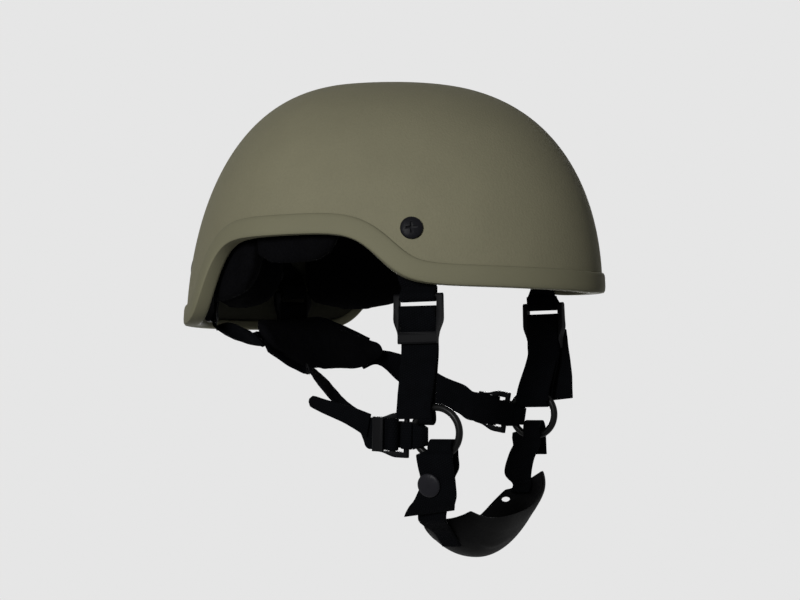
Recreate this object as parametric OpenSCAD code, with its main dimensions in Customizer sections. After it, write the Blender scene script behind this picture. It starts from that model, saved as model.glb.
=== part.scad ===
// Combat helmet: high-cut shell, edge trim, suspension pads and a four-point chin harness.
// Frame: +Z up, the front towards -Y, the wearer's right towards -X, millimetres.
// Origin: middle of the head opening, at the height of the brow rim.

/* [Shell] */
// Half of the shell's width
half_w = 122; // [114:1:128]
// Reach of the front wall from the widest section
front_reach = 163.8; // [156:0.2:170]
// Reach of the rear wall from the widest section
rear_reach = 114.2; // [110:0.2:120]
// Distance of the widest section behind the origin
widest_y = 20; // [16:1:24]
// Height of the crown above the brow rim
crown_h = 137.8; // [132:0.1:144]
// Depth below the brow rim where the walls stand upright
foot_drop = 13; // [12:0.5:15]
// Forward lean of the sections at the crown
lean = 10.8; // [6:0.2:14]
// Thickness of the shell wall
wall = 8; // [7:0.5:9]

/* [Rim] */
// Height of the ear arch above the brow rim
arch_h = 34.5; // [28:0.5:38]
// Drop of the nape rim below the brow rim
nape_drop = 15; // [12:0.1:15.5]
// Height of the rim at the temples
temple_h = 3; // [1:0.2:5]
// Dip of the brow rim at its middle, below the temples
brow_dip = 4.8; // [3:0.2:7]
// Angle of the front ramp of the ear arch, from the front
front_ramp = 55.5; // [53:0.5:58]
// Angle of the rear ramp of the ear arch, from the front
rear_ramp = 116.6; // [113:0.2:120]
// Length over which a ramp turns, as an angle
ramp_turn = 7.93; // [7:0.01:9]
// Width of the edge trim on the outside
trim_w = 12.5; // [10:0.5:15]
// Thickness of the edge trim
trim_t = 1.5; // [1.3:0.1:2.2]
// Height of the edge trim's inner leg
trim_leg = 6; // [5:0.5:8]

/* [Fasteners] */
// Angle of the front screws, from the front
front_screw_a = 47.1; // [46:0.1:49]
// Height of the front screws above the brow rim
front_screw_z = 35.9; // [32:0.1:39]
// Angle of the rear screws, from the front
rear_screw_a = 158; // [157:0.5:159]
// Height of the rear screws above the brow rim
rear_screw_z = 24; // [22:0.5:28]
// Diameter of a screw head
head_d = 13.6; // [12:0.2:15]
// Diameter of a screw shank
shank_d = 4.8; // [4:0.1:5]
// Diameter of a nut's barrel
barrel_d = 6.8; // [6.4:0.1:7.4]

/* [Webbing] */
// Width of the webbing
web_w = 23; // [22:0.5:24]
// Thickness of the webbing
web_t = 1.6; // [1.2:0.1:2]
// Width of the narrow webbing of the rear and side straps
slim_w = 19; // [17:0.5:20]
// Width of a ladder-lock beside its webbing, on each side
rail_t = 3.4; // [3:0.1:4]
// Length of a front ladder-lock
front_lock_h = 30; // [29:0.5:33]
// Length of a side or rear ladder-lock
slim_lock_h = 23; // [22:0.5:25]
// Diameter of a ladder-lock's bars
bar_d = 3.4; // [3:0.1:4]
// Radius of a harness ring, to the middle of its wire
ring_r = 14.7; // [14.2:0.1:15.4]
// Diameter of the ring's wire
wire_d = 4.4; // [4:0.1:4.8]

/* [Chin] */
// Diameter of the snap cap
snap_d = 14.5; // [12:0.5:16]
// Half of the chin cup's span from side to side
cup_half = 57; // [54:0.5:59]
// Width of the chin cup from its rear edge to its front edge
cup_w = 46; // [42:1:52]
// Thickness of the chin cup
cup_t = 3.2; // [2.4:0.2:4]

/* [Pads] */
// Thickness of a suspension pad
pad_t = 19; // [15:1:21]
// Thickness of a hook-tape patch
hook_t = 1.8; // [1.7:0.1:2.2]
// Width of the nape pad from side to side
nape_w = 114; // [108:2:122]
// Height of the nape pad
nape_h = 40; // [34:1:46]
// Thickness of the nape pad
nape_t = 10; // [8:1:13]

/* [Hidden] */

$fn = 48;
// Wearer's right and left, as the sign of X
R = -1;
L = 1;
// Seat gap between pieces that rest on each other
gap = 0.3;
// Exponents of the shell: its plan, its rise and the turn of its shoulder
plan_n = 1.8;
rise_n = 2.17;
turn_n = 2.69;
// Columns and rows of the shell's faces
cols = 90;
rows_out = 13;
rows_in = 14;
// Centre of a ring, and how far the worn harness leans to one side
ring_mid = [77, -70, -80];
ring_skew = [0, 6, 5];
olive = [0.40, 0.39, 0.31];
black = [0.07, 0.07, 0.08];
foam = [0.12, 0.12, 0.13];
steel = [0.20, 0.20, 0.22];

function tanh(x) = 1 - 2 / (exp(2 * x) + 1);
function unit(v) = v / norm(v);
function mix(a, b, k) = a + (b - a) * k;
function fold(a) = abs(a) > 180 ? 360 - abs(a) : abs(a);
function reverse(v) = [for (i = [len(v) - 1 : -1 : 0]) v[i]];

// The shell's surface: angle from the front, height, and inset from the outside
function plan_radius(a, inset) =
    let (
        reach = (cos(a) > 0 ? front_reach : rear_reach) - inset,
        side = half_w - inset,
        sum = pow(abs(cos(a)) / reach, plan_n) + pow(abs(sin(a)) / side, plan_n)
    )
    pow(sum, -1 / plan_n);
function rise(z, inset) = min(max((z + foot_drop) / (crown_h - inset + foot_drop), 0), 1);
function shoulder(v) = pow(1 - pow(v, rise_n), 1 / turn_n);
function shell_point(a, z, inset) =
    let (v = rise(z, inset), r = plan_radius(a, inset) * shoulder(v))
    [r * sin(a), widest_y - r * cos(a) - lean * v, z];
function shell_normal(a, z, inset) =
    let (
        across = shell_point(a + 0.5, z, inset) - shell_point(a - 0.5, z, inset),
        upward = shell_point(a, z + 0.5, inset) - shell_point(a, z - 0.5, inset)
    )
    unit(cross(across, upward));

// The rim: its height round the head, and points at a distance up from it, square to it
function ramp(a, middle) = 0.5 + 0.5 * tanh((a - middle) / ramp_turn);
function rim_z(a) =
    let (u = fold(a), front = ramp(u, front_ramp), rear = ramp(u, rear_ramp))
    (temple_h - brow_dip * max(1 - u / front_ramp, 0)) * (1 - front)
        + arch_h * front * (1 - rear) - nape_drop * rear;
function rim_slope(a) = atan((rim_z(a + 0.5) - rim_z(a - 0.5)) / (plan_radius(a, 0) * PI / 180));
function rim_angle(a, w) = a - w * sin(rim_slope(a)) / (plan_radius(a, 0) * PI / 180);
function rim_height(a, w) = rim_z(a) + w * cos(rim_slope(a));
function rim_point(a, w, inset) = shell_point(rim_angle(a, w), rim_height(a, w), inset);

// A closed skin over rings of points that turn anticlockwise, seen from the last ring's side
module skin(rings, first_tip, last_tip) {
    n = len(rings[0]);
    m = len(rings);
    points = concat([for (r = rings) each r], [first_tip, last_tip]);
    walls = [for (i = [0 : m - 2], j = [0 : n - 1])
        let (k = (j + 1) % n, a = i * n, b = a + n)
        each [[a + j, b + k, a + k], [a + j, b + j, b + k]]];
    caps = [for (j = [0 : n - 1])
        let (k = (j + 1) % n, b = (m - 1) * n)
        each [[m * n, j, k], [m * n + 1, b + k, b + j]]];
    polyhedron(points, concat(walls, caps), convexity = 8);
}

// A closed skin over rings of points that follow each other round a loop
module skin_loop(rings) {
    n = len(rings[0]);
    m = len(rings);
    points = [for (r = rings) each r];
    faces = [for (i = [0 : m - 1], j = [0 : n - 1])
        let (k = (j + 1) % n, a = i * n, b = ((i + 1) % m) * n)
        each [[a + j, b + k, a + k], [a + j, b + j, b + k]]];
    polyhedron(points, faces, convexity = 8);
}

function sum(v, i) = i == 0 ? v[0] : v[i] + sum(v, i - 1);
function middle(ring) = sum(ring, len(ring) - 1) / len(ring);

// Webbing that twists: stations hold a place, the direction of the width, and the width
module ribbon(stations, t) {
    last = len(stations) - 1;
    rings = [for (i = [0 : last])
        let (
            p = stations[i][0],
            along = unit(stations[min(i + 1, last)][0] - stations[max(i - 1, 0)][0]),
            across = unit(stations[i][1]) * stations[i][2] / 2,
            out = unit(cross(along, across)) * t / 2
        )
        [p - across - out, p + across - out, p + across + out, p - across + out]];
    skin(rings, middle(rings[0]), middle(rings[last]));
}

// Webbing that stays in one plane: a path in X and Z, thickened and given the width along Y
function side_of(path, h) = [for (i = [0 : len(path) - 1])
    let (
        back = path[max(i, 1)] - path[max(i, 1) - 1],
        ahead = path[min(i, len(path) - 2) + 1] - path[min(i, len(path) - 2)],
        sum = unit([-back.y, back.x]) + unit([-ahead.y, ahead.x])
    )
    path[i] + sum * (2 * h / (sum * sum))];
function arc(c, r, from, to, steps) =
    [for (i = [0 : steps]) let (a = mix(from, to, i / steps)) c + r * [cos(a), sin(a)]];
module web(path, y_low, y_high, t) {
    outline = concat(side_of(path, t / 2), reverse(side_of(path, -t / 2)));
    translate([0, y_high, 0])
        rotate([90, 0, 0])
            linear_extrude(y_high - y_low)
                polygon(outline);
}

// Places: a screw's frame looks outwards along +Z
module on_shell(a, z, inset) {
    n = shell_normal(a, z, inset);
    translate(shell_point(a, z, inset))
        rotate([0, acos(n.z), atan2(n.y, n.x)])
            children();
}
module screw_hole(a, z) {
    on_shell(a, z, 0)
        cylinder(d = barrel_d + 0.4, h = 6 * wall, center = true);
}
screws = [
    [front_screw_a, front_screw_z], [-front_screw_a, front_screw_z],
    [rear_screw_a, rear_screw_z], [-rear_screw_a, rear_screw_z]
];

// Each side's own pieces are drawn for the wearer's left and mirrored for the right
module on_side(side) {
    mirror([side < 0 ? 1 : 0, 0, 0]) children();
}
function ring_centre(side) = ring_mid + side * ring_skew;
module ring_frame(side) {
    on_side(side)
        translate(ring_centre(side))
            rotate([0, -side * atan(ring_skew.z / ring_mid.x), side * atan(ring_skew.y / ring_mid.x)])
                children();
}

// Shell and edge trim
rise_out = [for (i = [1 : rows_out]) i / (rows_out + 1)];
rise_in = [for (i = [1 : rows_in]) i / (rows_in + 1)];
function lift(z, inset) = asin(pow(rise(z, inset), rise_n / 2));
function column(a, k, inset, from_w) =
    let (
        a0 = rim_angle(a, from_w),
        z0 = rim_height(a, from_w),
        phi = mix(lift(z0, inset), 90, k),
        z = pow(sin(phi), 2 / rise_n) * (crown_h - inset + foot_drop) - foot_drop
    )
    shell_point(mix(a0, a, k), z, inset);
angles = [for (j = [0 : cols - 1]) 360 * j / cols - 180];
edge_w = trim_t + gap / 2;
module shell() {
    outside = [for (k = concat([0], rise_out))
        [for (a = angles) column(a, k, 0, k == 0 ? edge_w : trim_w)]];
    inside = [for (k = concat([0], rise_in))
        [for (a = angles) column(a, k, wall, k == 0 ? edge_w : trim_leg)]];
    apex = [0, widest_y - lean, crown_h];
    color(olive)
        difference() {
            skin(concat(reverse(inside), outside), apex - [0, 0, wall], apex);
            for (s = screws)
                screw_hole(s[0], s[1]);
        }
}

trim_gap = gap / 2;
trim_in = 1.2;
function trim_section(a) =
    let (in = wall + trim_gap)
    [
        rim_point(a, 1.2, -trim_gap - trim_t),
        rim_point(a, trim_w - 1, -trim_gap - trim_t),
        rim_point(a, trim_w, -trim_gap - trim_t / 2),
        rim_point(a, trim_w, -trim_gap),
        rim_point(a, trim_t, -trim_gap),
        rim_point(a, trim_t, in),
        rim_point(a, trim_leg, in),
        rim_point(a, trim_leg, in + trim_in / 2),
        rim_point(a, trim_leg - 1, in + trim_in),
        rim_point(a, 1, in + trim_in),
        rim_point(a, 0, in - 1),
        rim_point(a, 0, 0)
    ];
module edge_trim() {
    color(olive * 0.9)
        skin_loop([for (a = angles) reverse(trim_section(a))]);
}

// A round button with a straight rim and a domed face
module button(d, base, rim, h) {
    dome = [for (i = [1 : 6]) let (q = 90 * i / 6) [d / 2 * cos(q), base + rim + (h - rim) * sin(q)]];
    rotate_extrude()
        polygon(concat([[0, base], [d / 2, base], [d / 2, base + rim]], dome));
}

// Screws and nuts
head_h = 2.6;
head_rim = 0.8;
slot_w = 1.4;
flange_h = 1.4;
flange_d = 14;
nut_inset = wall + web_t + 1.3;
module harness_screws() {
    color(steel)
        for (s = screws)
            on_shell(s[0], s[1], 0)
                translate([0, 0, gap])
                    difference() {
                        union() {
                            button(head_d, 0, head_rim, head_h);
                            translate([0, 0, -nut_inset])
                                cylinder(d = shank_d, h = nut_inset + head_rim);
                        }
                        for (q = [0, 90])
                            rotate([0, 0, q])
                                translate([-head_d / 4, -slot_w / 2, head_h - slot_w])
                                    cube([head_d / 2, slot_w, head_h]);
                    }
}
module harness_nuts() {
    color(steel)
        for (s = screws)
            on_shell(s[0], s[1], 0)
                translate([0, 0, -nut_inset - flange_h])
                    difference() {
                        union() {
                            cylinder(d = flange_d, h = flange_h);
                            cylinder(d = barrel_d, h = flange_h + web_t + wall / 2);
                        }
                        translate([0, 0, -1])
                            cylinder(d = shank_d + 0.1, h = 3 * wall);
                    }
}

// Pads: a cushion over a rounded patch of the shell, thick in the middle and thin at its rim
pad_rings = [0.35, 0.7, 0.9, 1];
pad_face = [1, 0.97, 0.78, 0.3];
pad_turns = [for (j = [0 : 27]) -360 * j / 28];
hook_turns = [for (j = [0 : 15]) -360 * j / 16];
rim_lift = 0.12;
function rounded(q) = pow(pow(abs(cos(q)), 3.6) + pow(abs(sin(q)), 3.6), -1 / 3.6);
function patch_point(s, k, q, inset) =
    let (
        u = k * rounded(q) * cos(q) * s[2] / 2,
        v = k * rounded(q) * sin(q) * s[3] / 2
    )
    shell_point(s[0] + u * 180 / PI / plan_radius(s[0], 0), s[1] + v, inset);
// The crown pad is round, so it is laid out from the top
function dome_point(s, k, q, inset) =
    let (
        u = k * s * sin(q),
        f = k * s * cos(q),
        reach = (f > 0 ? front_reach : rear_reach) - inset,
        part = pow(abs(f) / reach, plan_n) + pow(abs(u) / (half_w - inset), plan_n),
        v = pow(1 - pow(part, turn_n / plan_n), 1 / rise_n)
    )
    [u, widest_y - f - lean * v, v * (crown_h - inset + foot_drop) - foot_drop];
function pad_point(s, k, q, inset) = is_num(s) ? dome_point(s, k, q, inset) : patch_point(s, k, q, inset);
module cushion(s, inset, t) {
    back = [for (k = pad_rings)
        [for (q = pad_turns) pad_point(s, k, q, inset + (k == 1 ? t * rim_lift : 0))]];
    face = [for (i = [0 : 3]) [for (q = pad_turns) pad_point(s, pad_rings[i], q, inset + t * pad_face[i])]];
    skin(concat(back, reverse(face)), pad_point(s, 0, 0, inset), pad_point(s, 0, 0, inset + t));
}
module hook_patch(s) {
    rings = [for (k = [0.6, 1]) [for (q = hook_turns) pad_point(s, k, q, hook_in)]];
    face = [for (k = [1, 0.6]) [for (q = hook_turns) pad_point(s, k, q, hook_in + hook_t)]];
    middle_in = pad_point(s, 0, 0, hook_in);
    middle_out = pad_point(s, 0, 0, hook_in + hook_t);
    skin(concat(rings, face), middle_in, middle_out);
}

// Each pad: angle of its middle, height of its middle, width and height
pads = [
    [0, 40, 108, 60],
    [180, 34, 74, 60],
    [-84, 46, 66, 54],
    [84, 46, 66, 54],
    [-123, 34, 78, 60],
    [123, 34, 78, 60]
];
crown_size = 56;
hook_in = wall + 0.35;
pad_in = hook_in + hook_t + 0.4;
module pad(i) {
    color(foam)
        cushion(pads[i], pad_in, pad_t);
}
module crown_pad() {
    color(foam)
        cushion(crown_size, pad_in, pad_t);
}
module hook_patches() {
    color(black) {
        for (s = pads)
            hook_patch([s[0], s[1] + 9, s[2] / 2, s[3] / 2.4]);
        hook_patch(crown_size / 2);
    }
}

// Ladder-lock for webbing of width w, h long: +X outwards, the top bar at the origin, the lip below
bar_step = 9;
lip_h = 7;
wrap_r = bar_d / 2 + 0.1 + web_t / 2;
module ladder_lock(w, h) {
    low = -h + bar_d / 2;
    lip_in = 1.1;
    half = w / 2 + 0.5;
    color(steel) {
        for (y = [-half, half + rail_t])
            translate([0, y, 0])
                rotate([90, 0, 0])
                    linear_extrude(rail_t)
                        union() {
                            circle(d = bar_d);
                            polygon([
                                [-bar_d / 2, 0], [bar_d / 2, 0], [2.2, -bar_step], [3.6, low + lip_h],
                                [4, low + 1], [3.4, low], [lip_in, low], [-bar_d / 2, low + lip_h - 1]
                            ]);
                        }
        for (z = [0, -bar_step])
            translate([0, 0, z])
                rotate([90, 0, 0])
                    cylinder(d = bar_d, h = w + 1.4, center = true);
        translate([0, half + 0.2, 0])
            rotate([90, 0, 0])
                linear_extrude(2 * half + 0.4)
                    polygon([
                        [lip_in, low + lip_h], [3.6, low + lip_h], [4, low + 1], [3.4, low], [lip_in, low]
                    ]);
    }
}
// The webbing through a lock: over the middle bar, with both runs behind the lip
module lock_thread(w, h) {
    low = -h + bar_d / 2;
    color(black)
        web(concat(
            [[-2.1, low], [-2.1, low + lip_h]],
            arc([0, -bar_step], wrap_r, 185, -25, 10),
            [[0, low + lip_h + 1], [-0.2, low]]
        ), -w / 2, w / 2, web_t);
}
// The webbing round a lock's top bar, both runs leaving on the inner side
module bar_wrap(w, up) {
    path = concat([[-2.9, up]], arc([0, 0], wrap_r, 180, 420, 12), [[-0.9, up - 1.2], [-1.1, up]]);
    color(black)
        web(path, -w / 2, w / 2, web_t);
}

// The front locks hang just below the rim, the tabs that hold them lie on the wall under the screws
front_lock_a = 43.4;
front_bar_z = -4.2;
harness_turn = -8;
front_bar_xy = shell_point(front_lock_a, -foot_drop, wall + trim_gap + trim_in + 2.1);
front_bar = [front_bar_xy.x, front_bar_xy.y, front_bar_z];
module front_lock_frame(side) {
    on_side(side)
        translate(front_bar)
            rotate([0, 0, harness_turn])
                children();
}
front_out = [cos(harness_turn), sin(harness_turn), 0];
front_across = [-sin(harness_turn), cos(harness_turn), 0];
// A strip of webbing down the inner wall, from one place to another
function wall_way(from, to, w, lift) = [for (k = [0, 0.25, 0.5, 0.75, 1])
    let (
        a = mix(from[0], to[0], k),
        z = mix(from[1], to[1], k),
        in = wall + 0.45 + web_t / 2 + lift * k * k,
        p = shell_point(a, z, in),
        d = shell_point(a + (to[0] - from[0]) / 9, z + (to[1] - from[1]) / 9, in) - p
    )
    [p, cross(shell_normal(a, z, wall), d), w]];
module front_tab(side) {
    w = web_w - 1;
    up = 6;
    color(black)
        difference() {
            union() {
                on_side(side)
                    ribbon(concat(
                        wall_way([front_screw_a, front_screw_z + 11], [front_lock_a + 1, 9], w, 3.2),
                        [[front_bar - front_out * 2.1 + [0, 0, up - 1.2], front_across, w]]
                    ), web_t);
                front_lock_frame(side) bar_wrap(w, up);
            }
            on_side(side) screw_hole(front_screw_a, front_screw_z);
        }
}
module front_lock(side) {
    front_lock_frame(side) ladder_lock(web_w, front_lock_h);
}
module front_thread(side) {
    front_lock_frame(side) lock_thread(web_w, front_lock_h);
}

// Rings and the loops round them; level 1 hugs the wire, level 2 passes outside level 1
level_1 = wire_d / 2 + gap + web_t / 2;
level_2 = level_1 + web_t + gap;
function ring_place(side, p) =
    let (
        b = -side * atan(ring_skew.z / ring_mid.x),
        c = side * atan(ring_skew.y / ring_mid.x),
        q = [p.x * cos(b) + p.z * sin(b), p.y, -p.x * sin(b) + p.z * cos(b)]
    )
    ring_centre(side) + [q.x * cos(c) - q.y * sin(c), q.x * sin(c) + q.y * cos(c), q.z];
module ring(side) {
    color(black)
        ring_frame(side)
            rotate([0, 90, 0])
                rotate_extrude()
                    translate([ring_r, 0])
                        circle(d = wire_d);
}

// Front straps: a loop through the ring, then two runs up to the lock
fold_front = -11;
fold_rear = 10;
fold_z = 4.2;
fold_top = 8;
module front_strap(side) {
    strap_rear = side < 0 ? 24.5 : fold_rear;
    front_edge = strap_rear - web_w;
    centre_y = strap_rear - web_w / 2;
    loop_top = 17;
    lock_low = front_lock_h - bar_d / 2;
    color(black) {
        ring_frame(side)
            difference() {
                web(concat(
                    [[level_1, loop_top]],
                    arc([0, fold_z + level_1 + web_t / 2], level_1, 0, -180, 10),
                    [[-level_1, loop_top]]
                ), front_edge, strap_rear, web_t);
                for (y = [fold_rear, fold_front - 20])
                    translate([-10, y, fold_top - 20])
                        cube(20);
            }
        for (s = [-1, 1])
            on_side(side)
                ribbon([
                    [ring_place(side, [s * level_1, centre_y, loop_top - 0.6]), [0, 1, 0], web_w],
                    [ring_place(side, [s * (level_1 - 0.3), centre_y, loop_top + 3]), [0, 1, 0], web_w],
                    [front_bar + front_out * (-1.15 + s * 0.95) - [0, 0, lock_low + 4], front_across, web_w],
                    [front_bar + front_out * (-1.15 + s * 0.95) - [0, 0, lock_low + gap], front_across, web_w]
                ], web_t);
    }
}
// The loose end of the left front strap, from its lock's top bar: it spreads towards its end
tail_way = [
    [[4.8, -10.1, -15.8], [0.13, 1, 0], 8],
    [[4.8, -10.6, -28.8], [0.13, 1, 0], 10],
    [[3.7, -11.1, -43.8], [0.13, 1, 0], 14],
    [[2, -10.1, -61.8], [0.13, 1, -0.08], 18.5]
];
module front_tail_l() {
    color(black)
        ribbon([for (s = tail_way) [front_bar + s[0], s[1], s[2]]], web_t);
}

// Side loops and locks, in the frame of a ring turned so that +Z points forwards
side_drop = 3.2;
loop_half = 5.5;
side_bar = 19.8;
function side_tilt(side) = side < 0 ? 4 : 12;
function side_place(side, x, d) =
    ring_place(side, [x, d * cos(side_tilt(side)), d * sin(side_tilt(side)) - side_drop]);
module side_frame(side) {
    ring_frame(side)
        translate([0, 0, -side_drop])
            rotate([90 + side_tilt(side), 0, 0])
                children();
}
module side_loop(side) {
    color(black)
        side_frame(side)
            web(concat(
                [[level_1, -14.2]],
                arc([0, -6 - web_t / 2 - level_1], level_1, 0, 180, 10),
                [[-level_1 - 0.1, -16.8]],
                arc([0, -side_bar], wrap_r, 200, 340, 10),
                [[level_1 + 0.1, -16.8], [level_1, -14.8]]
            ), -loop_half, loop_half, web_t);
}
module side_lock(side) {
    side_frame(side)
        translate([0, 0, -side_bar])
            ladder_lock(slim_w, slim_lock_h);
}
side_end = side_bar + slim_lock_h - bar_d / 2;
module side_strap(side) {
    tilt = side_tilt(side);
    way = side < 0
        ? [[[75, -20, -77], [0, 0.4, 1], slim_w - 1], [[70, -9, -69.5], [-0.1, 0.55, 1], slim_w - 3],
            [[60, 13.7, -53], [-1, 0.35, 0.2], slim_w], [[52, 27, -44.5], [-1, 0.5, 0.1], slim_w]]
        : [[[75, -12, -64.5], [0, -0.3, 1], slim_w], [[70, 1, -58.5], [0, -0.4, 1], slim_w],
            [[65, 21, -46.5], [0, -0.5, 1], slim_w]];
    color(black) {
        side_frame(side)
            translate([0, 0, -side_bar])
                lock_thread(slim_w, slim_lock_h);
        on_side(side)
            ribbon(concat(
                [for (d = [-0.5, 4])
                    [side_place(side, -1.15, side_end + d), [0, -sin(tilt), cos(tilt)], slim_w]],
                way,
                [for (k = [0, 1])
                    let (
                        u = mix(0.86, 0.62, k),
                        across = nape_seat(side, u, -0.46, 0) - nape_seat(side, u, -0.86, 0)
                    )
                    [nape_seat(side, u, -0.66, 1.1 - 0.3 * k), across, slim_w - 7]]
            ), web_t);
    }
}
// The loose end of the right side strap
module side_tail_r() {
    color(black)
        on_side(R)
            ribbon([
                [[81.4, -32, -80.5], [0, -0.2, 1], 14],
                [[80.8, -17, -74], [0, -0.3, 1], 11],
                [[80.2, 0, -68.5], [0, -0.3, 1], 8.5],
                [[79.5, 11, -64.5], [0, -0.3, 1], 7]
            ], web_t);
}

// Rear tabs and locks lie on the wall beside the rear pad
rear_lock_a = 150;
rear_bar_z = 9;
rear_bar = shell_point(rear_lock_a, rear_bar_z, wall + 7);
rear_normal = shell_normal(rear_lock_a, 0, wall);
rear_turn = atan2(rear_normal.y, rear_normal.x);
rear_out = [cos(rear_turn), sin(rear_turn), 0];
rear_across = [-sin(rear_turn), cos(rear_turn), 0];
module rear_lock_frame(side) {
    on_side(side)
        translate(rear_bar)
            rotate([0, 0, rear_turn])
                children();
}
module rear_tab(side) {
    w = slim_w - 1;
    up = 6;
    color(black)
        difference() {
            union() {
                on_side(side)
                    ribbon(concat(
                        wall_way([rear_screw_a + 3, rear_screw_z + 10], [rear_lock_a, 17], w, 1.5),
                        [[rear_bar + rear_out * 1.1 + [0, 0, up + 2], rear_across, w],
                            [rear_bar + rear_out * 0.3 + [0, 0, up - 1], rear_across, w]]
                    ), web_t);
                rear_lock_frame(side) bar_wrap(w, up);
            }
            on_side(side) screw_hole(rear_screw_a, rear_screw_z);
        }
}
module rear_lock(side) {
    rear_lock_frame(side) ladder_lock(slim_w, slim_lock_h);
}
module rear_strap(side) {
    low = slim_lock_h - bar_d / 2;
    seats = side < 0
        ? [for (u = [0.93, 0.8, 0.66])
            let (across = nape_seat(side, u, 0.6, 0) - nape_seat(side, u, 0.1, 0))
            [nape_seat(side, u, 0.36, u > 0.9 ? 0.9 : 0.3), across, slim_w - 8]]
        : [for (v = [0.95, 0.6, 0.2])
            let (
                u = 0.62 + 0.1 * v,
                across = nape_seat(side, u + 0.05, v, 0) - nape_seat(side, u - 0.05, v, 0)
            )
            [nape_seat(side, u, v, v > 0.9 ? 0.9 : 0.5), across, slim_w - 3]];
    knee = mix(rear_bar - [0, 0, low + 6], seats[0][0], 0.6) + [0, 0, 1.5];
    color(black) {
        rear_lock_frame(side) lock_thread(slim_w, slim_lock_h);
        on_side(side)
            ribbon([
                [rear_bar - rear_out * 1.15 - [0, 0, low - 0.5], rear_across, slim_w],
                [rear_bar - rear_out * 1.6 - [0, 0, low + 3], rear_across, slim_w],
                [knee, mix(rear_across, seats[0][1], 0.7), slim_w - 2],
                each seats
            ], web_t);
    }
}
// Nape pad: a cushion bent round the neck, its lower edge tucked forwards
nape_mid = [-2, 58.5, -27];
nape_r = 95;
nape_tuck = 38;
nape_yaw = -10;
function nape_full(u) = pow(max(1 - pow(abs(u), 3), 0.02), 0.45);
function nape_point(u, v, t) =
    let (a = u * nape_w / 2 / nape_r * 180 / PI, r = nape_r + t * cos(nape_tuck) + v * sin(nape_tuck))
    [r * sin(a), r * cos(a) - nape_r, v * cos(nape_tuck) - t * sin(nape_tuck)];
// A place for webbing on the pad's outer face, in the unmirrored frame of that side
function nape_seat(side, u, v, lift) =
    let (
        full = nape_full(u),
        t = sqrt(1 - v * v) * nape_t / 2 * pow(full, 0.7) + gap + web_t / 2 + lift,
        p = nape_point(side * u, v * nape_h / 2 * full, t),
        q = nape_mid + [
            p.x * cos(nape_yaw) - p.y * sin(nape_yaw),
            p.x * sin(nape_yaw) + p.y * cos(nape_yaw),
            p.z
        ]
    )
    [side * q.x, q.y, q.z];
module nape_pad() {
    spans = [for (i = [-7 : 7]) sin(90 * i / 7)];
    turns = [for (j = [0 : 15]) -360 * j / 16];
    rings = [for (u = spans)
        let (full = nape_full(u))
        [for (q = turns)
            nape_point(u, cos(q) * nape_h / 2 * full, sin(q) * nape_t / 2 * pow(full, 0.7))]];
    color(foam)
        translate(nape_mid)
            rotate([0, 0, nape_yaw])
                skin(rings, middle(rings[0]), middle(rings[14]));
}

// Chin straps, drawn in the ring frames, which swing about the line through both rings
fold_chin = -4.2;
flap_z = -16;
snap_y = 4;
snap_z = -31;
module chin_loop(side, low) {
    chin_front = side < 0 ? -11 : -6;
    chin_rear = side < 0 ? 4 : 5.2;
    wide_front = side < 0 ? -12 : -6;
    wide_rear = side < 0 ? 11 : 17;
    ring_frame(side) {
        web(concat(
            [[level_2, -12.5]],
            arc([0, fold_chin - web_t / 2 - level_2], level_2, 0, 180, 12),
            [[-level_2, flap_z + 5]]
        ), chin_front, chin_rear, web_t);
        translate([level_2 - web_t / 2, 0, 0])
            rotate([90, 0, 90])
                linear_extrude(web_t)
                    polygon([
                        [chin_front + 0.4, -10.6], [chin_rear - 0.4, -10.6],
                        [wide_rear, -12.6], [wide_rear, low],
                        [wide_front, low], [wide_front, -12]
                    ]);
    }
}
module chin_strap(side) {
    flap_edge = flap_z + web_t / 2 + gap;
    fall = side < 0
        ? [[-level_2, -3.5, flap_z + 6], [-level_2, -3.5, flap_z + 2], [-4.9, -2, -22], [-4.9, 1, -28],
            [-5.2, 3, -36], [-6.5, 7, -45], [-10, 10, -53]]
        : [[-level_2, -0.4, flap_z + 6], [-level_2, -0.4, flap_z + 2], [-6, 3, -20], [-9.5, 6, -28],
            [-18.6, 5, -38]];
    seat = side < 0 ? [[0.05, -1.3], [0.15, -1.1]] : [[0.97, 1.9], [0.92, 2.4]];
    way = concat([for (p = fall) ring_place(side, p)], [for (q = seat) cup_seat(side, q[0], q[1])]);
    top_w = side < 0 ? 15.6 : 11.8;
    fall_w = 19;
    end_w = 13;
    color(black)
        difference() {
            union() {
                chin_loop(side, side < 0 ? flap_edge : -27);
                on_side(side)
                    ribbon([for (i = [0 : len(way) - 1])
                        [way[i], [0, 1, 0], i < 2 ? top_w : (i < len(way) - 2 ? fall_w : end_w)]
                    ], web_t + 0.1);
            }
            if (side < 0)
                snap_frame()
                    translate([0, 0, -14])
                        cylinder(d = stud_d + 0.2, h = 12.6);
        }
}

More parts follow.
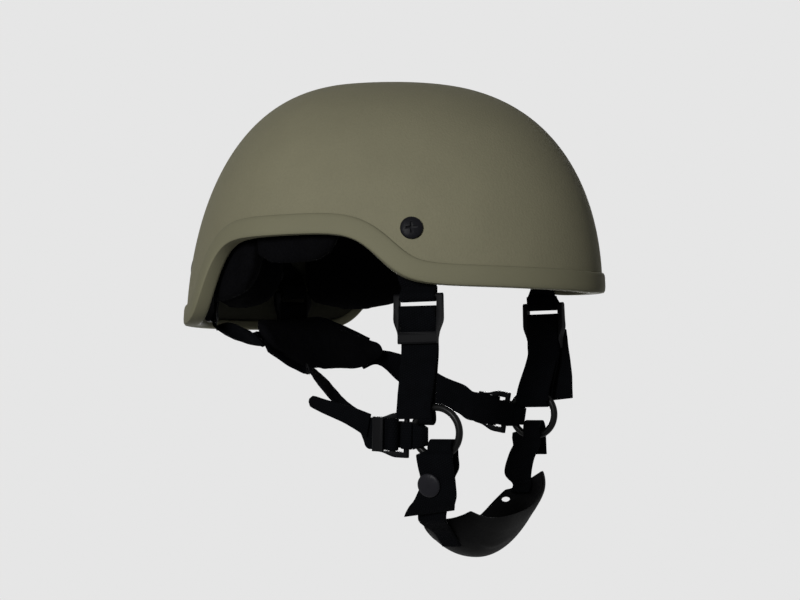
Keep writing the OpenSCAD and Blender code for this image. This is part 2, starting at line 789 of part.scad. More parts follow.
// The flap over the right chin strap, closed by a snap
flap = [
    [[level_2, -0.5, flap_z], [0, 1, 0], 23], [[level_2, -0.8, -21.5], [0, 1, 0], 22.5],
    [[3.94, -1.2, -30], [0, 1, 0], 22.4], [[2.6, 1.5, -39], [0, 1, -0.03], 27],
    [[-0.6, 6, -44.5], [0, 1, -0.08], 31], [[-4.5, 9.2, -48.5], [0, 1, -0.13], 33.6]
];
snap_lean = 8.45;
cap_h = 2.4;
cap_gap = 0.8;
stud_d = 5;
socket_h = 4.6;
module snap_frame() {
    ring_frame(R)
        translate([mix(flap[2][0].x, flap[3][0].x, (flap[2][0].z - snap_z) / 9) + web_t / 2, snap_y, snap_z])
            rotate([0, 90 + snap_lean, 0])
                children();
}
module snap_flap() {
    color(black)
        difference() {
            union() {
                on_side(R)
                    ribbon([for (f = flap)
                    let (p = ring_place(R, f[0]), across = ring_place(R, f[0] + f[1]) - p)
                    [p, across, f[2]]], web_t);
                ring_frame(R)
                    translate([level_2, 11.2, flap_z])
                        rotate([90, 0, 0])
                            cylinder(d = web_t, h = 23);
            }
            snap_frame()
                translate([0, 0, -5])
                    cylinder(d = stud_d + 2.2, h = 10);
        }
}
module snap_cap() {
    color(steel)
        snap_frame() {
            button(snap_d, cap_gap, head_rim, cap_h);
            translate([0, 0, -web_t - gap - socket_h])
                difference() {
                    union() {
                        cylinder(d = 12, h = socket_h);
                        cylinder(d = stud_d + 2, h = socket_h + web_t + 2 * gap + 0.4);
                    }
                    translate([0, 0, -1])
                        cylinder(d = stud_d + 0.1, h = socket_h);
                }
        }
}
module snap_stud() {
    base = -web_t - gap - socket_h - gap - 1.2;
    color(steel)
        snap_frame() {
            translate([0, 0, base])
                cylinder(d = 11, h = 1.2);
            translate([0, 0, base - 4.4])
                cylinder(d = stud_d, h = 4.4 + 1.2 + gap + socket_h - 2);
            translate([0, 0, base - 4.4])
                cylinder(d = 9, h = 0.8);
        }
}

// Chin cup: a sling bent round the chin, its front edge turned up, its left end carried up to a tab
cup_mid = [5, -62, -162];
cup_rise = 48;
cup_from = -64;
cup_to = 88;
cup_wall = 24;
cup_slant = 8;
// Slot in the cup's left side
cup_slot = [3.6, 9];
cup_slot_at = [43, 8, 31];
cup_slot_deep = 20;
function cup_point(k, v, h) =
    let (
        t = mix(cup_from, cup_to - (k > 0.5 ? cup_slant * (1 - v) : 0), k),
        u = sin(t),
        end = max(k - 0.86, 0.1 - k, 0) / 0.2,
        side = cup_w / 2 * (1 - 0.3 * u * u) * sqrt(1 - end * end),
        curl = (v > 0 ? cup_wall : cup_wall / 2) * pow(abs(v), 2.2) * pow(max(cos(t), 0), 1.2) + h,
        along_x = cup_half * cos(t),
        along_z = cup_rise * sin(t),
        n = [-along_z, 0, along_x] / norm([along_x, 0, along_z])
    )
    cup_mid + n * curl + [
        cup_half * u,
        (t > 0 ? -4 * u * u : 0) - side * v,
        cup_rise * (1 - cos(t)) + 0.065 * cup_half * u
    ];
// A place for a strap on the cup: h is 1 and more inside it, -1 outside it
function cup_seat(side, k, h) =
    let (p = cup_point(k, 0, h * (cup_t / 2 + gap + web_t / 2)))
    [side * p.x, p.y, p.z];
module chin_cup() {
    steps = 20;
    across = [for (i = [-4 : 4]) i / 4];
    rings = [for (i = [0 : steps]) concat(
        [for (v = reverse(across)) cup_point(i / steps, v, -cup_t / 2)],
        [for (v = across) cup_point(i / steps, v, cup_t / 2)]
    )];
    color(black)
        difference() {
            skin(rings, middle(rings[0]), middle(rings[steps]));
            translate(cup_mid + cup_slot_at)
                rotate([0, 90, 0])
                    linear_extrude(cup_slot_deep)
                        square(cup_slot, center = true);
        }
}

shell();
edge_trim();
harness_screws();
harness_nuts();
hook_patches();
crown_pad();
pad(0);  // front_pad
pad(1);  // rear_pad
pad(2);  // side_pad_front_r
pad(3);  // side_pad_front_l
pad(4);  // side_pad_rear_r
pad(5);  // side_pad_rear_l
front_tab(R);  // front_tab_r
front_tab(L);  // front_tab_l
rear_tab(R);  // rear_tab_r
rear_tab(L);  // rear_tab_l
front_lock(R);  // front_lock_r
front_lock(L);  // front_lock_l
front_thread(R);  // front_thread_r
front_thread(L);  // front_thread_l
rear_lock(R);  // rear_lock_r
rear_lock(L);  // rear_lock_l
front_strap(R);  // front_strap_r
front_strap(L);  // front_strap_l
front_tail_l();
rear_strap(R);  // rear_strap_r
rear_strap(L);  // rear_strap_l
nape_pad();
side_strap(R);  // side_strap_r
side_strap(L);  // side_strap_l
side_lock(R);  // side_lock_r
side_lock(L);  // side_lock_l
side_loop(R);  // side_loop_r
side_loop(L);  // side_loop_l
side_tail_r();
ring(R);  // ring_r
ring(L);  // ring_l
chin_strap(R);  // chin_strap_r
chin_strap(L);  // chin_strap_l
snap_flap();
snap_cap();
snap_stud();
chin_cup();
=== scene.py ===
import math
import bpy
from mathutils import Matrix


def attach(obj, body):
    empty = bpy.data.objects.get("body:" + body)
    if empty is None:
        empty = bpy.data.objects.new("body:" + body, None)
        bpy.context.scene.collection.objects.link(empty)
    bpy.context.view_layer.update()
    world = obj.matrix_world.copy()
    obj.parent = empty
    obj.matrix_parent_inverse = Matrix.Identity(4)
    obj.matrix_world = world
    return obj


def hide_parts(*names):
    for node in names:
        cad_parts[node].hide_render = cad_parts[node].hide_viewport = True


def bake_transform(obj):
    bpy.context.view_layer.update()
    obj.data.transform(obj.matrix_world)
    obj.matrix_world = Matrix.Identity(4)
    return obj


bl_info = {
    "name": "Combat helmet",
    "version": (1, 0, 0),
    "blender": (4, 5, 0),
    "location": "View3D > Sidebar > Helmet",
    "description": "Dresses the combat helmet: shell, edge trim, pads, webbing harness and chin cup",
    "category": "Object",
}

import bpy
from mathutils import Matrix, Vector, noise

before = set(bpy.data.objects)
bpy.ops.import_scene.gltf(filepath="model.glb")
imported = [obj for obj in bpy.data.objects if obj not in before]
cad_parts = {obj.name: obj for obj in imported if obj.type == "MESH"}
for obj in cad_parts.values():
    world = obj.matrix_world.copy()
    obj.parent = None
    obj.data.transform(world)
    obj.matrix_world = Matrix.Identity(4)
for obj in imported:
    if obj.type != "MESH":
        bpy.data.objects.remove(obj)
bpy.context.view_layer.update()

# Sizes in millimetres, the same as in the part's source
MM = 0.001
R, L = -1, 1
SIDES = ((R, "r"), (L, "l"))
HALF_W = 122.0
FRONT_REACH = 163.8
REAR_REACH = 114.2
WIDEST_Y = 20.0
CROWN_H = 137.8
FOOT_DROP = 13.0
LEAN = 10.8
WALL = 8.0
PLAN_N, RISE_N, TURN_N = 1.8, 2.17, 2.69
ARCH_H = 34.5
NAPE_DROP = 15.0
TEMPLE_H = 3.0
BROW_DIP = 4.8
FRONT_RAMP, REAR_RAMP, RAMP_TURN = 55.5, 116.6, 7.93
TRIM_W, TRIM_T, TRIM_LEG, TRIM_IN = 12.5, 1.5, 6.0, 1.2
GAP = 0.3
FRONT_SCREW = (47.1, 35.9)
REAR_SCREW = (158.0, 24.0)
WEB_W, WEB_T, SLIM_W = 23.0, 1.6, 19.0
WEB_EDGE = 0.42
FRONT_LOCK_H, SLIM_LOCK_H = 30.0, 23.0
BAR_D, BAR_STEP = 3.4, 9.0
RING_R, WIRE_D = 14.7, 4.4
CUP_HALF, CUP_W, CUP_T = 57.0, 46.0, 3.2
NAPE_W, NAPE_H, NAPE_T = 114.0, 40.0, 10.0


# Angles in degrees, as the source has them
def sin(a):
    return math.sin(math.radians(a))


def cos(a):
    return math.cos(math.radians(a))


def mix(a, b, k):
    return a + (b - a) * k


def plan_radius(a, inset):
    reach = (FRONT_REACH if cos(a) > 0 else REAR_REACH) - inset
    side = HALF_W - inset
    return ((abs(cos(a)) / reach) ** PLAN_N + (abs(sin(a)) / side) ** PLAN_N) ** (-1 / PLAN_N)


def rise(z, inset):
    return min(max((z + FOOT_DROP) / (CROWN_H - inset + FOOT_DROP), 0.0), 1.0)


def shell_point(a, z, inset):
    v = rise(z, inset)
    r = plan_radius(a, inset) * (1 - v ** RISE_N) ** (1 / TURN_N)
    return Vector((r * sin(a), WIDEST_Y - r * cos(a) - LEAN * v, z))


def shell_normal(a, z, inset):
    across = shell_point(a + 0.5, z, inset) - shell_point(a - 0.5, z, inset)
    upward = shell_point(a, z + 0.5, inset) - shell_point(a, z - 0.5, inset)
    return across.cross(upward).normalized()


def rim_z(a):
    u = 360 - abs(a) if abs(a) > 180 else abs(a)
    front = 0.5 + 0.5 * math.tanh((u - FRONT_RAMP) / RAMP_TURN)
    rear = 0.5 + 0.5 * math.tanh((u - REAR_RAMP) / RAMP_TURN)
    brow = TEMPLE_H - BROW_DIP * max(1 - u / FRONT_RAMP, 0)
    return brow * (1 - front) + ARCH_H * front * (1 - rear) - NAPE_DROP * rear


def rim_place(a, w):
    scale = plan_radius(a, 0) * math.pi / 180
    slope = math.atan((rim_z(a + 0.5) - rim_z(a - 0.5)) / scale)
    return a - w * math.sin(slope) / scale, rim_z(a) + w * math.cos(slope)


def rim_point(a, w, inset):
    place = rim_place(a, w)
    return shell_point(place[0], place[1], inset)


def column(a, k, inset, from_w):
    a0, z0 = rim_place(a, from_w)
    height = CROWN_H - inset + FOOT_DROP
    start = math.degrees(math.asin(rise(z0, inset) ** (RISE_N / 2)))
    z = sin(mix(start, 90, k)) ** (2 / RISE_N) * height - FOOT_DROP
    return shell_point(mix(a0, a, k), z, inset)


# Places of the harness: the near and far sides differ by the lean of the worn harness
RING_MID = Vector((77, -70, -80))
RING_LEAN = math.degrees(math.atan(5 / 77))
RING_TURN = math.degrees(math.atan(6 / 77))
LEVEL_1 = WIRE_D / 2 + GAP + WEB_T / 2
LEVEL_2 = LEVEL_1 + WEB_T + GAP
WRAP_R = BAR_D / 2 + 0.1 + WEB_T / 2


def turned(p, a):
    return Vector((p[0] * cos(a) - p[1] * sin(a), p[0] * sin(a) + p[1] * cos(a), p[2]))


def on_side(side):
    return lambda p: Vector((side * p[0], p[1], p[2]))


def ring_place(side, p):
    b = -side * RING_LEAN
    q = (p[0] * cos(b) + p[2] * sin(b), p[1], -p[0] * sin(b) + p[2] * cos(b))
    return RING_MID + side * Vector((0, 6, 5)) + turned(q, side * RING_TURN)


def in_ring(side):
    return lambda p: on_side(side)(ring_place(side, p))


SIDE_DROP, SIDE_BAR = 3.2, 19.8
SIDE_TILT = {R: 4.0, L: 12.0}


def in_side(side):
    a = 90 + SIDE_TILT[side]

    def place(p):
        y, z = p[1] * cos(a) - p[2] * sin(a), p[1] * sin(a) + p[2] * cos(a)
        return in_ring(side)((p[0], y, z - SIDE_DROP))
    return place


def in_side_lock(side):
    place = in_side(side)
    return lambda p: place((p[0], p[1], p[2] - SIDE_BAR))


HARNESS_TURN = -8.0
FRONT_BAR = shell_point(43.4, -FOOT_DROP, WALL + GAP / 2 + TRIM_IN + 2.1)
FRONT_BAR.z = -4.2
FRONT_OUT = turned((1, 0, 0), HARNESS_TURN)
FRONT_ACROSS = turned((0, 1, 0), HARNESS_TURN)
REAR_BAR = shell_point(150, 9, WALL + 7)
REAR_TURN = math.degrees(math.atan2(*reversed(shell_normal(150, 0, WALL)[:2])))
REAR_OUT = turned((1, 0, 0), REAR_TURN)
REAR_ACROSS = turned((0, 1, 0), REAR_TURN)


def in_front_lock(side):
    return lambda p: on_side(side)(FRONT_BAR + turned(p, HARNESS_TURN))


def in_rear_lock(side):
    return lambda p: on_side(side)(REAR_BAR + turned(p, REAR_TURN))


NAPE_MID = Vector((-2, 58.5, -27))
NAPE_R, NAPE_TUCK, NAPE_YAW = 95.0, 38.0, -10.0


def nape_point(u, v, t):
    a = math.degrees(u * NAPE_W / 2 / NAPE_R)
    r = NAPE_R + t * cos(NAPE_TUCK) + v * sin(NAPE_TUCK)
    p = Vector((r * sin(a), r * cos(a) - NAPE_R, v * cos(NAPE_TUCK) - t * sin(NAPE_TUCK)))
    return NAPE_MID + turned(p, NAPE_YAW)


# Edges of the nape pad's cloth from its right end to its left end, as shares of its height
NAPE_TOP = ((-1, 0.5), (-0.93, 0.72), (-0.8, 0.86), (0.2, 1.0), (0.33, 0.92), (0.95, -0.02), (1, -0.2))
NAPE_FOOT = (
    (-1, 0.15), (-0.93, -0.05), (-0.4, -0.92), (-0.28, -1.0), (0.55, -1.0), (0.7, -0.92), (0.95, -0.5),
    (1, -0.35)
)


def along(line, u):
    for (a, p), (b, q) in zip(line, line[1:]):
        if u <= b:
            return mix(p, q, (u - a) / (b - a))
    return line[-1][1]


def nape_cloth(u, w):
    """A place on the nape pad's cloth: w turns round it, 0 at its top edge and 90 on its inner face"""
    top, foot = along(NAPE_TOP, u), along(NAPE_FOOT, u)
    full = max((top - foot) / 2, 0)
    seam = 0.7 if abs(sin(w)) < 0.2 else 0
    v = math.copysign(abs(cos(w)) ** 0.8, cos(w)) * (NAPE_H / 2 * full + seam)
    t = math.copysign(abs(sin(w)) ** 0.85, sin(w)) * (NAPE_T / 2 * min(full * 1.25, 1) ** 0.5)
    return nape_point(u, NAPE_H / 2 * (top + foot) / 2 + v, t)


def nape_run(side, stations):
    """Stations of a strap on the pad's face: a share of its length, of its height, and the width"""
    rows = []
    for u, v, w in stations:
        top, foot = along(NAPE_TOP, side * u), along(NAPE_FOOT, side * u)
        k = min(max((v - (top + foot) / 2) / max((top - foot) / 2, 0.1), -1), 1)
        lift = NAPE_T / 2 * math.sqrt(max(1 - k * k, 0)) + GAP + WEB_T / 2 + 0.4
        p = nape_point(side * u, v * NAPE_H / 2, lift)
        rows.append((p, nape_point(side * u, (v + 0.1) * NAPE_H / 2, lift) - p, w))
    ways = [Vector((side * p.x, p.y, p.z)) for p, _, _ in rows]
    out = []
    for i, (p, d, w) in enumerate(rows):
        step = ways[min(i + 1, len(ways) - 1)] - ways[max(i - 1, 0)]
        d = Vector((side * d.x, d.y, d.z))
        flat = d - step * (d.dot(step) / step.length_squared)
        out.append((ways[i], flat, w))
    return out


CUP_MID = Vector((5, -62, -162))
SLOT_MID, SLOT_L = Vector((53, 8, 32)), 6.4
CREASE_AT, CREASE_W, CREASE_END = 0.64, 0.055, 0.58


def cup_point(k, v, h):
    t = mix(-64, 88 - (8 * (1 - v) if k > 0.5 else 0), k)
    u = sin(t)
    end = max(k - 0.86, 0.1 - k, 0) / 0.2
    side = CUP_W / 2 * (1 - 0.3 * u * u) * math.sqrt(1 - end * end)
    curl = (24 if v > 0 else 12) * abs(v) ** 2.2 * max(cos(t), 0) ** 1.2 + h
    n = Vector((-48 * sin(t), 0, CUP_HALF * cos(t))).normalized()
    back = -4 * u * u if t > 0 else 0
    up = 48 * (1 - cos(t)) + 0.065 * CUP_HALF * u
    return CUP_MID + Vector((CUP_HALF * u, back - side * v, up)) + n * curl


def cup_seat(side, k, h):
    p = cup_point(k, 0, h * (CUP_T / 2 + GAP + WEB_T / 2))
    return Vector((side * p.x, p.y, p.z))


# Modelling helpers
def clear():
    if bpy.context.object and bpy.context.object.mode != "OBJECT":
        bpy.ops.object.mode_set(mode="OBJECT")
    bpy.ops.object.select_all(action="DESELECT")


def only(obj):
    clear()
    obj.select_set(True)
    bpy.context.view_layer.objects.active = obj


def in_edit(obj, *steps):
    only(obj)
    bpy.ops.object.mode_set(mode="EDIT")
    bpy.ops.mesh.select_all(action="SELECT")
    for step in steps:
        step()
    bpy.ops.object.mode_set(mode="OBJECT")


def merged():
    bpy.ops.mesh.remove_doubles(threshold=0.00002)


def outwards():
    bpy.ops.mesh.normals_make_consistent(inside=False)


def modify(obj, kind, **settings):
    only(obj)
    m = obj.modifiers.new(kind.title(), kind)
    for key, value in settings.items():
        setattr(m, key, value)
    bpy.ops.object.modifier_apply(modifier=m.name)


def smooth(obj, angle=None):
    only(obj)
    if angle is None:
        bpy.ops.object.shade_smooth()
    else:
        bpy.ops.object.shade_smooth_by_angle(angle=math.radians(angle))


def grid(name, nu, nv, place, size=None):
    """A grid whose points go to place(u, v), with the surface's size in metres as its UV map"""
    clear()
    bpy.ops.mesh.primitive_grid_add(x_subdivisions=nu, y_subdivisions=nv, size=2)
    obj = bpy.context.object
    obj.name = obj.data.name = name
    flat = [((v.co.x + 1) / 2, (v.co.y + 1) / 2) for v in obj.data.vertices]
    for v, (a, b) in zip(obj.data.vertices, flat):
        v.co = place(a, b) * MM
    if size:
        layer = obj.data.uv_layers.active.data
        for loop in obj.data.loops:
            a, b = flat[loop.vertex_index]
            layer[loop.index].uv = (a * size[0] * MM, b * size[1] * MM)
    return obj


def skin(name, nu, nv, place, size=None):
    """A closed grid, with its seams merged and its faces outwards"""
    obj = grid(name, nu, nv, place, size)
    in_edit(obj, merged, outwards)
    return obj


def joined(name, parts):
    only(parts[0])
    for p in parts[1:]:
        p.select_set(True)
    if len(parts) > 1:
        bpy.ops.object.join()
    parts[0].name = parts[0].data.name = name
    return parts[0]


def recast(name, node, bevel=0.0, segments=2):
    """A merged copy of a CAD node, with its edges rounded"""
    only(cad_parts[node])
    bpy.ops.object.duplicate()
    obj = bpy.context.object
    obj.name = obj.data.name = name
    in_edit(obj, merged, lambda: bpy.ops.mesh.dissolve_limited(angle_limit=math.radians(1)))
    if bevel:
        modify(obj, "BEVEL", width=bevel * MM, segments=segments, limit_method="ANGLE",
               angle_limit=math.radians(30))
    smooth(obj, 40)
    return obj


def finish(obj, material, slot, body, *nodes):
    obj.data.materials.clear()
    obj.data.materials.append(material)
    if body:
        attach(obj, body)
    if nodes:
        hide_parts(*nodes)
    return obj


def path_spline(points, steps):
    """Centripetal curve through rows of numbers"""
    rows = [Vector(p) for p in points]
    rows = [rows[0] * 2 - rows[1]] + rows + [rows[-1] * 2 - rows[-2]]

    def between(p, q, low, high, x):
        return p * ((high - x) / (high - low)) + q * ((x - low) / (high - low))
    out = []
    for i in range(1, len(rows) - 2):
        p = rows[i - 1:i + 3]
        t = [0.0]
        for a, b in zip(p, p[1:]):
            t.append(t[-1] + max((b - a).length, 1e-6) ** 0.5)
        last = i == len(rows) - 3
        for s in range(steps + (1 if last else 0)):
            x = mix(t[1], t[2], s / steps)
            a = [between(p[j], p[j + 1], t[j], t[j + 1], x) for j in range(3)]
            b = [between(a[j], a[j + 1], t[j], t[j + 2], x) for j in range(2)]
            out.append(between(b[0], b[1], t[1], t[2], x))
    return out


def strap(name, stations, steps=4, t=WEB_T, wave=0.12, tip=0):
    """Webbing through stations of place, direction of the width, and width; tip rounds its last end"""
    rows = [tuple(p) + tuple(Vector(d).normalized() * 10) + (w,) for p, d, w in stations]
    fine = path_spline(rows, steps)
    mids = [Vector(f[:3]) for f in fine]
    dirs = [Vector(f[3:6]).normalized() for f in fine]
    wide = [f[6] for f in fine]
    reach = [0.0]
    for a, b in zip(mids, mids[1:]):
        reach.append(reach[-1] + (b - a).length)
    last = len(fine) - 1
    if tip:
        wide = [w * math.sqrt(1 - max(1 - (reach[last] - r) / tip, 0) ** 2 * 0.93)
                for w, r in zip(wide, reach)]

    def place(u, v):
        i = round(v * last)
        s = u * 2 - 1
        along = (mids[min(i + 1, last)] - mids[max(i - 1, 0)]).normalized()
        out = along.cross(dirs[i]).normalized()
        ripple = wave * math.sin(reach[i] * 0.55 + mids[i].x) * s
        return mids[i] + dirs[i] * (s * wide[i] / 2) + out * ripple
    obj = grid(name, 8, last, place)
    layer = obj.data.uv_layers.active.data
    for loop in obj.data.loops:
        u, v = layer[loop.index].uv
        i = round(v * last)
        layer[loop.index].uv = ((u - 0.5) * wide[i] * MM, reach[i] * MM)
    modify(obj, "SOLIDIFY", thickness=t * MM, offset=0, use_even_offset=True)
    modify(obj, "BEVEL", width=WEB_EDGE * MM, segments=2, limit_method="ANGLE",
           angle_limit=math.radians(60))
    smooth(obj, 50)
    return obj


def arc(c, r, start, stop, steps):
    turns = [mix(start, stop, i / steps) for i in range(steps + 1)]
    return [(c[0] + r * cos(a), c[1] + r * sin(a)) for a in turns]


def band(name, place, path, low, high, **more):
    """Webbing along a path in X and Z of a frame, from low to high along its Y"""
    rows = [((x, (low + high) / 2, z), (0, 1, 0), high - low) for x, z in path]
    return ribbon(name, place, rows, steps=2, **more)


def ribbon(name, place, stations, **more):
    """Webbing through stations of a frame"""
    rows = [(place(p), place(Vector(p) + Vector(d)) - place(p), w) for p, d, w in stations]
    return strap(name, rows, **more)


# Materials
def math_node(tree, kind, a, b=None):
    n = tree.nodes.new("ShaderNodeMath")
    n.operation = kind
    for i, value in enumerate((a, b)):
        if value is None:
            continue
        if isinstance(value, (int, float)):
            n.inputs[i].default_value = value
        else:
            tree.links.new(value, n.inputs[i])
    return n.outputs[0]


def add(tree, a, b):
    return math_node(tree, "ADD", a, b)


def times(tree, a, b):
    return math_node(tree, "MULTIPLY", a, b)


def noise_node(tree, vector, scale, detail=3.0, roughness=0.5):
    n = tree.nodes.new("ShaderNodeTexNoise")
    n.inputs["Scale"].default_value = scale
    n.inputs["Detail"].default_value = detail
    n.inputs["Roughness"].default_value = roughness
    tree.links.new(vector, n.inputs["Vector"])
    return n.outputs["Fac"]


def ramp_node(tree, value, low, high):
    n = tree.nodes.new("ShaderNodeMapRange")
    tree.links.new(value, n.inputs["Value"])
    n.inputs["To Min"].default_value = low
    n.inputs["To Max"].default_value = high
    return n.outputs["Result"]


def effect(name, *values):
    """A node group that takes a colour, a roughness and the named values; its start and end nodes"""
    tree = bpy.data.node_groups.new(name, "ShaderNodeTree")
    sockets = [("INPUT", "Color", "Color")]
    sockets += [("INPUT", key, "Float") for key in ("Roughness", *values)]
    sockets += [("OUTPUT", "Color", "Color"), ("OUTPUT", "Roughness", "Float"),
                ("OUTPUT", "Normal", "Vector")]
    for side, key, kind in sockets:
        tree.interface.new_socket(name=key, in_out=side, socket_type="NodeSocket" + kind)
    return tree, tree.nodes.new("NodeGroupInput"), tree.nodes.new("NodeGroupOutput")


def tinted(tree, colour, amount):
    """The colour made lighter or darker by a factor"""
    n = tree.nodes.new("ShaderNodeVectorMath")
    n.operation = "SCALE"
    tree.links.new(colour, n.inputs[0])
    tree.links.new(amount, n.inputs["Scale"])
    return n.outputs["Vector"]


def bumped(tree, height, strength, distance):
    n = tree.nodes.new("ShaderNodeBump")
    n.inputs["Distance"].default_value = distance
    tree.links.new(strength, n.inputs["Strength"])
    tree.links.new(height, n.inputs["Height"])
    return n.outputs["Normal"]


def object_place(tree):
    return tree.nodes.new("ShaderNodeTexCoord").outputs["Object"]


def put_out(tree, start, end, tone, rough, height, distance):
    """Feed an effect's outputs: tone multiplies its colour, and rough is added to its roughness"""
    tree.links.new(tinted(tree, start.outputs["Color"], tone), end.inputs["Color"])
    tree.links.new(add(tree, start.outputs["Roughness"], rough), end.inputs["Roughness"])
    tree.links.new(bumped(tree, height, start.outputs["Strength"], distance), end.inputs["Normal"])
    return tree


def grain_effect():
    """Fine uneven grain of a moulded or sprayed surface"""
    tree, start, end = effect("grain", "Scale", "Strength", "Variation")
    where = object_place(tree)
    fine = noise_node(tree, where, 900.0, 4.0, 0.6)
    tree.links.new(start.outputs["Scale"], fine.node.inputs["Scale"])
    broad = noise_node(tree, where, 35.0, 3.0, 0.55)
    mixed = add(tree, times(tree, fine, 0.5), times(tree, broad, 0.5))
    shift = times(tree, math_node(tree, "SUBTRACT", mixed, 0.5), start.outputs["Variation"])
    tone = add(tree, times(tree, shift, 4.0), 1.0)
    return put_out(tree, start, end, tone, times(tree, shift, 1.5), fine, 0.0004)


def weave_effect():
    """Plain woven webbing, from a UV map in metres: U across and V along"""
    tree, start, end = effect("weave", "Pitch", "Strength")
    uv = tree.nodes.new("ShaderNodeSeparateXYZ")
    tree.links.new(tree.nodes.new("ShaderNodeTexCoord").outputs["UV"], uv.inputs[0])
    across = math_node(tree, "DIVIDE", uv.outputs["X"], start.outputs["Pitch"])
    along = math_node(tree, "DIVIDE", uv.outputs["Y"], start.outputs["Pitch"])
    phase = times(tree, math_node(tree, "FLOOR", across), 0.5)
    rib = math_node(tree, "SINE", times(tree, add(tree, along, phase), 2 * math.pi))
    cord = math_node(tree, "ABSOLUTE", math_node(tree, "SINE", times(tree, across, math.pi)))
    height = times(tree, add(tree, times(tree, rib, 0.5), 0.5), cord)
    worn = noise_node(tree, object_place(tree), 160.0, 4.0, 0.6)
    # The tone follows the relief: painted shade in the grooves between the cords and a painted
    # highlight on their tops; the worn noise adds tone that differs at random
    tone = add(tree, ramp_node(tree, height, 0.7, 1.3), math_node(tree, "SUBTRACT", worn, 0.5))
    return put_out(tree, start, end, tone, ramp_node(tree, worn, -0.08, 0.08), height, 0.0004)


def knit_effect():
    """Brushed knit cloth of the pads"""
    tree, start, end = effect("knit", "Scale", "Strength")
    where = object_place(tree)
    loops = tree.nodes.new("ShaderNodeTexVoronoi")
    tree.links.new(where, loops.inputs["Vector"])
    tree.links.new(start.outputs["Scale"], loops.inputs["Scale"])
    loop = loops.outputs["Distance"]
    nap = noise_node(tree, where, 90.0, 5.0, 0.65)
    tone = add(tree, ramp_node(tree, loop, 1.2, 0.7), math_node(tree, "SUBTRACT", nap, 0.5))
    rough = ramp_node(tree, nap, -0.05, 0.05)
    return put_out(tree, start, end, tone, rough, add(tree, loop, nap), 0.0006)


EFFECTS = {"grain": grain_effect, "weave": weave_effect, "knit": knit_effect}

# Each finish: its effect, where its colour is set, its specular level, and values or settings
FINISHES = {
    "coat": ("grain", "helmet_shell", "coat_color", 0.16, {
        "Roughness": "coat_roughness", "Scale": 700, "Strength": "coat_relief", "Variation": 0.09}),
    # The inner coat is painted shade: a darker olive that stands in for the shade inside the shell
    "painted_shade_inner_coat": ("grain", "helmet_shell", "painted_shade_inner_color", 0.15,
                   {"Roughness": 0.85, "Scale": 700, "Strength": 0.4, "Variation": 0.1}),
    "rubber": ("grain", "helmet_shell", "trim_color", 0.1,
               {"Roughness": 0.7, "Scale": 1500, "Strength": 0.15, "Variation": 0.05}),
    "steel": ("grain", "helmet_harness", "steel_color", 0.06,
              {"Roughness": 0.42, "Scale": 2500, "Strength": 0.1, "Variation": 0.1}),
    "snap": ("grain", "helmet_harness", "snap_color", 0.08,
             {"Roughness": 0.4, "Scale": 2500, "Strength": 0.08, "Variation": 0.1}),
    "ring": ("grain", "helmet_harness", "ring_color", 0.09,
             {"Roughness": 0.35, "Scale": 1200, "Strength": 0.06, "Variation": 0.1}),
    "buckle": ("grain", "helmet_harness", "buckle_color", 0.05,
               {"Roughness": 0.5, "Scale": 2000, "Strength": 0.12, "Variation": 0.1}),
    "woven_webbing": ("weave", "helmet_harness", "web_color", 0.02,
                      {"Roughness": 0.85, "Pitch": "weave_pitch", "Strength": 0.9}),
    "leather": ("grain", "helmet_harness", "cup_color", 0.04,
                {"Roughness": 0.6, "Scale": 650, "Strength": 0.5, "Variation": 0.15}),
    "hook": ("knit", "helmet_pads", "hook_color", 0.02,
             {"Roughness": 0.95, "Scale": 1400, "Strength": 0.8}),
    "knit": ("knit", "helmet_pads", "pad_color", 0.02,
             {"Roughness": 0.95, "Scale": 850, "Strength": 0.4})
}


def look(name):
    """The material of a finish, with its colour, roughness and relief from a shared effect"""
    if name in bpy.data.materials:
        return bpy.data.materials[name]
    kind, group, colour, specular, values = FINISHES[name]
    settings = getattr(bpy.context.scene, group)
    m = bpy.data.materials.new(name)
    m.use_nodes = True
    tree = m.node_tree
    shader = tree.nodes["Principled BSDF"]
    n = tree.nodes.new("ShaderNodeGroup")
    n.node_tree = bpy.data.node_groups.get(kind) or EFFECTS[kind]()
    n.inputs["Color"].default_value = (*getattr(settings, colour), 1)
    for key, value in values.items():
        n.inputs[key].default_value = getattr(settings, value) if isinstance(value, str) else value
    for out, into in (("Color", "Base Color"), ("Roughness", "Roughness"), ("Normal", "Normal")):
        tree.links.new(n.outputs[out], shader.inputs[into])
    shader.inputs["Specular IOR Level"].default_value = specular
    return m


# Settings
COLOUR = {"subtype": "COLOR", "size": 3, "min": 0, "max": 1}
LENGTH = {"subtype": "DISTANCE", "unit": "LENGTH", "precision": 4}
POWER = {"subtype": "POWER", "unit": "POWER", "min": 0, "max": 500}
ANGLE = {"subtype": "ANGLE", "unit": "ROTATION"}


class HelmetShell(bpy.types.PropertyGroup):
    coat_color: bpy.props.FloatVectorProperty(
        name="Coating", description="Colour of the shell's coating",
        default=(0.188, 0.178, 0.1165), **COLOUR)
    coat_roughness: bpy.props.FloatProperty(
        name="Coating roughness", description="How matt the coating is", subtype="FACTOR",
        min=0, max=1, default=0.75)
    coat_relief: bpy.props.FloatProperty(
        name="Coating relief", description="Strength of the coating's fine grain", subtype="FACTOR",
        min=0, max=1, default=0.6)
    # Painted shade: the inner face is coloured darker to stand in for the shade inside the shell
    painted_shade_inner_color: bpy.props.FloatVectorProperty(
        name="Inside", description="Colour of the shell's inner face",
        default=(0.045, 0.045, 0.032), **COLOUR)
    trim_color: bpy.props.FloatVectorProperty(
        name="Edge trim", description="Colour of the edge trim",
        default=(0.172, 0.165, 0.1075), **COLOUR)


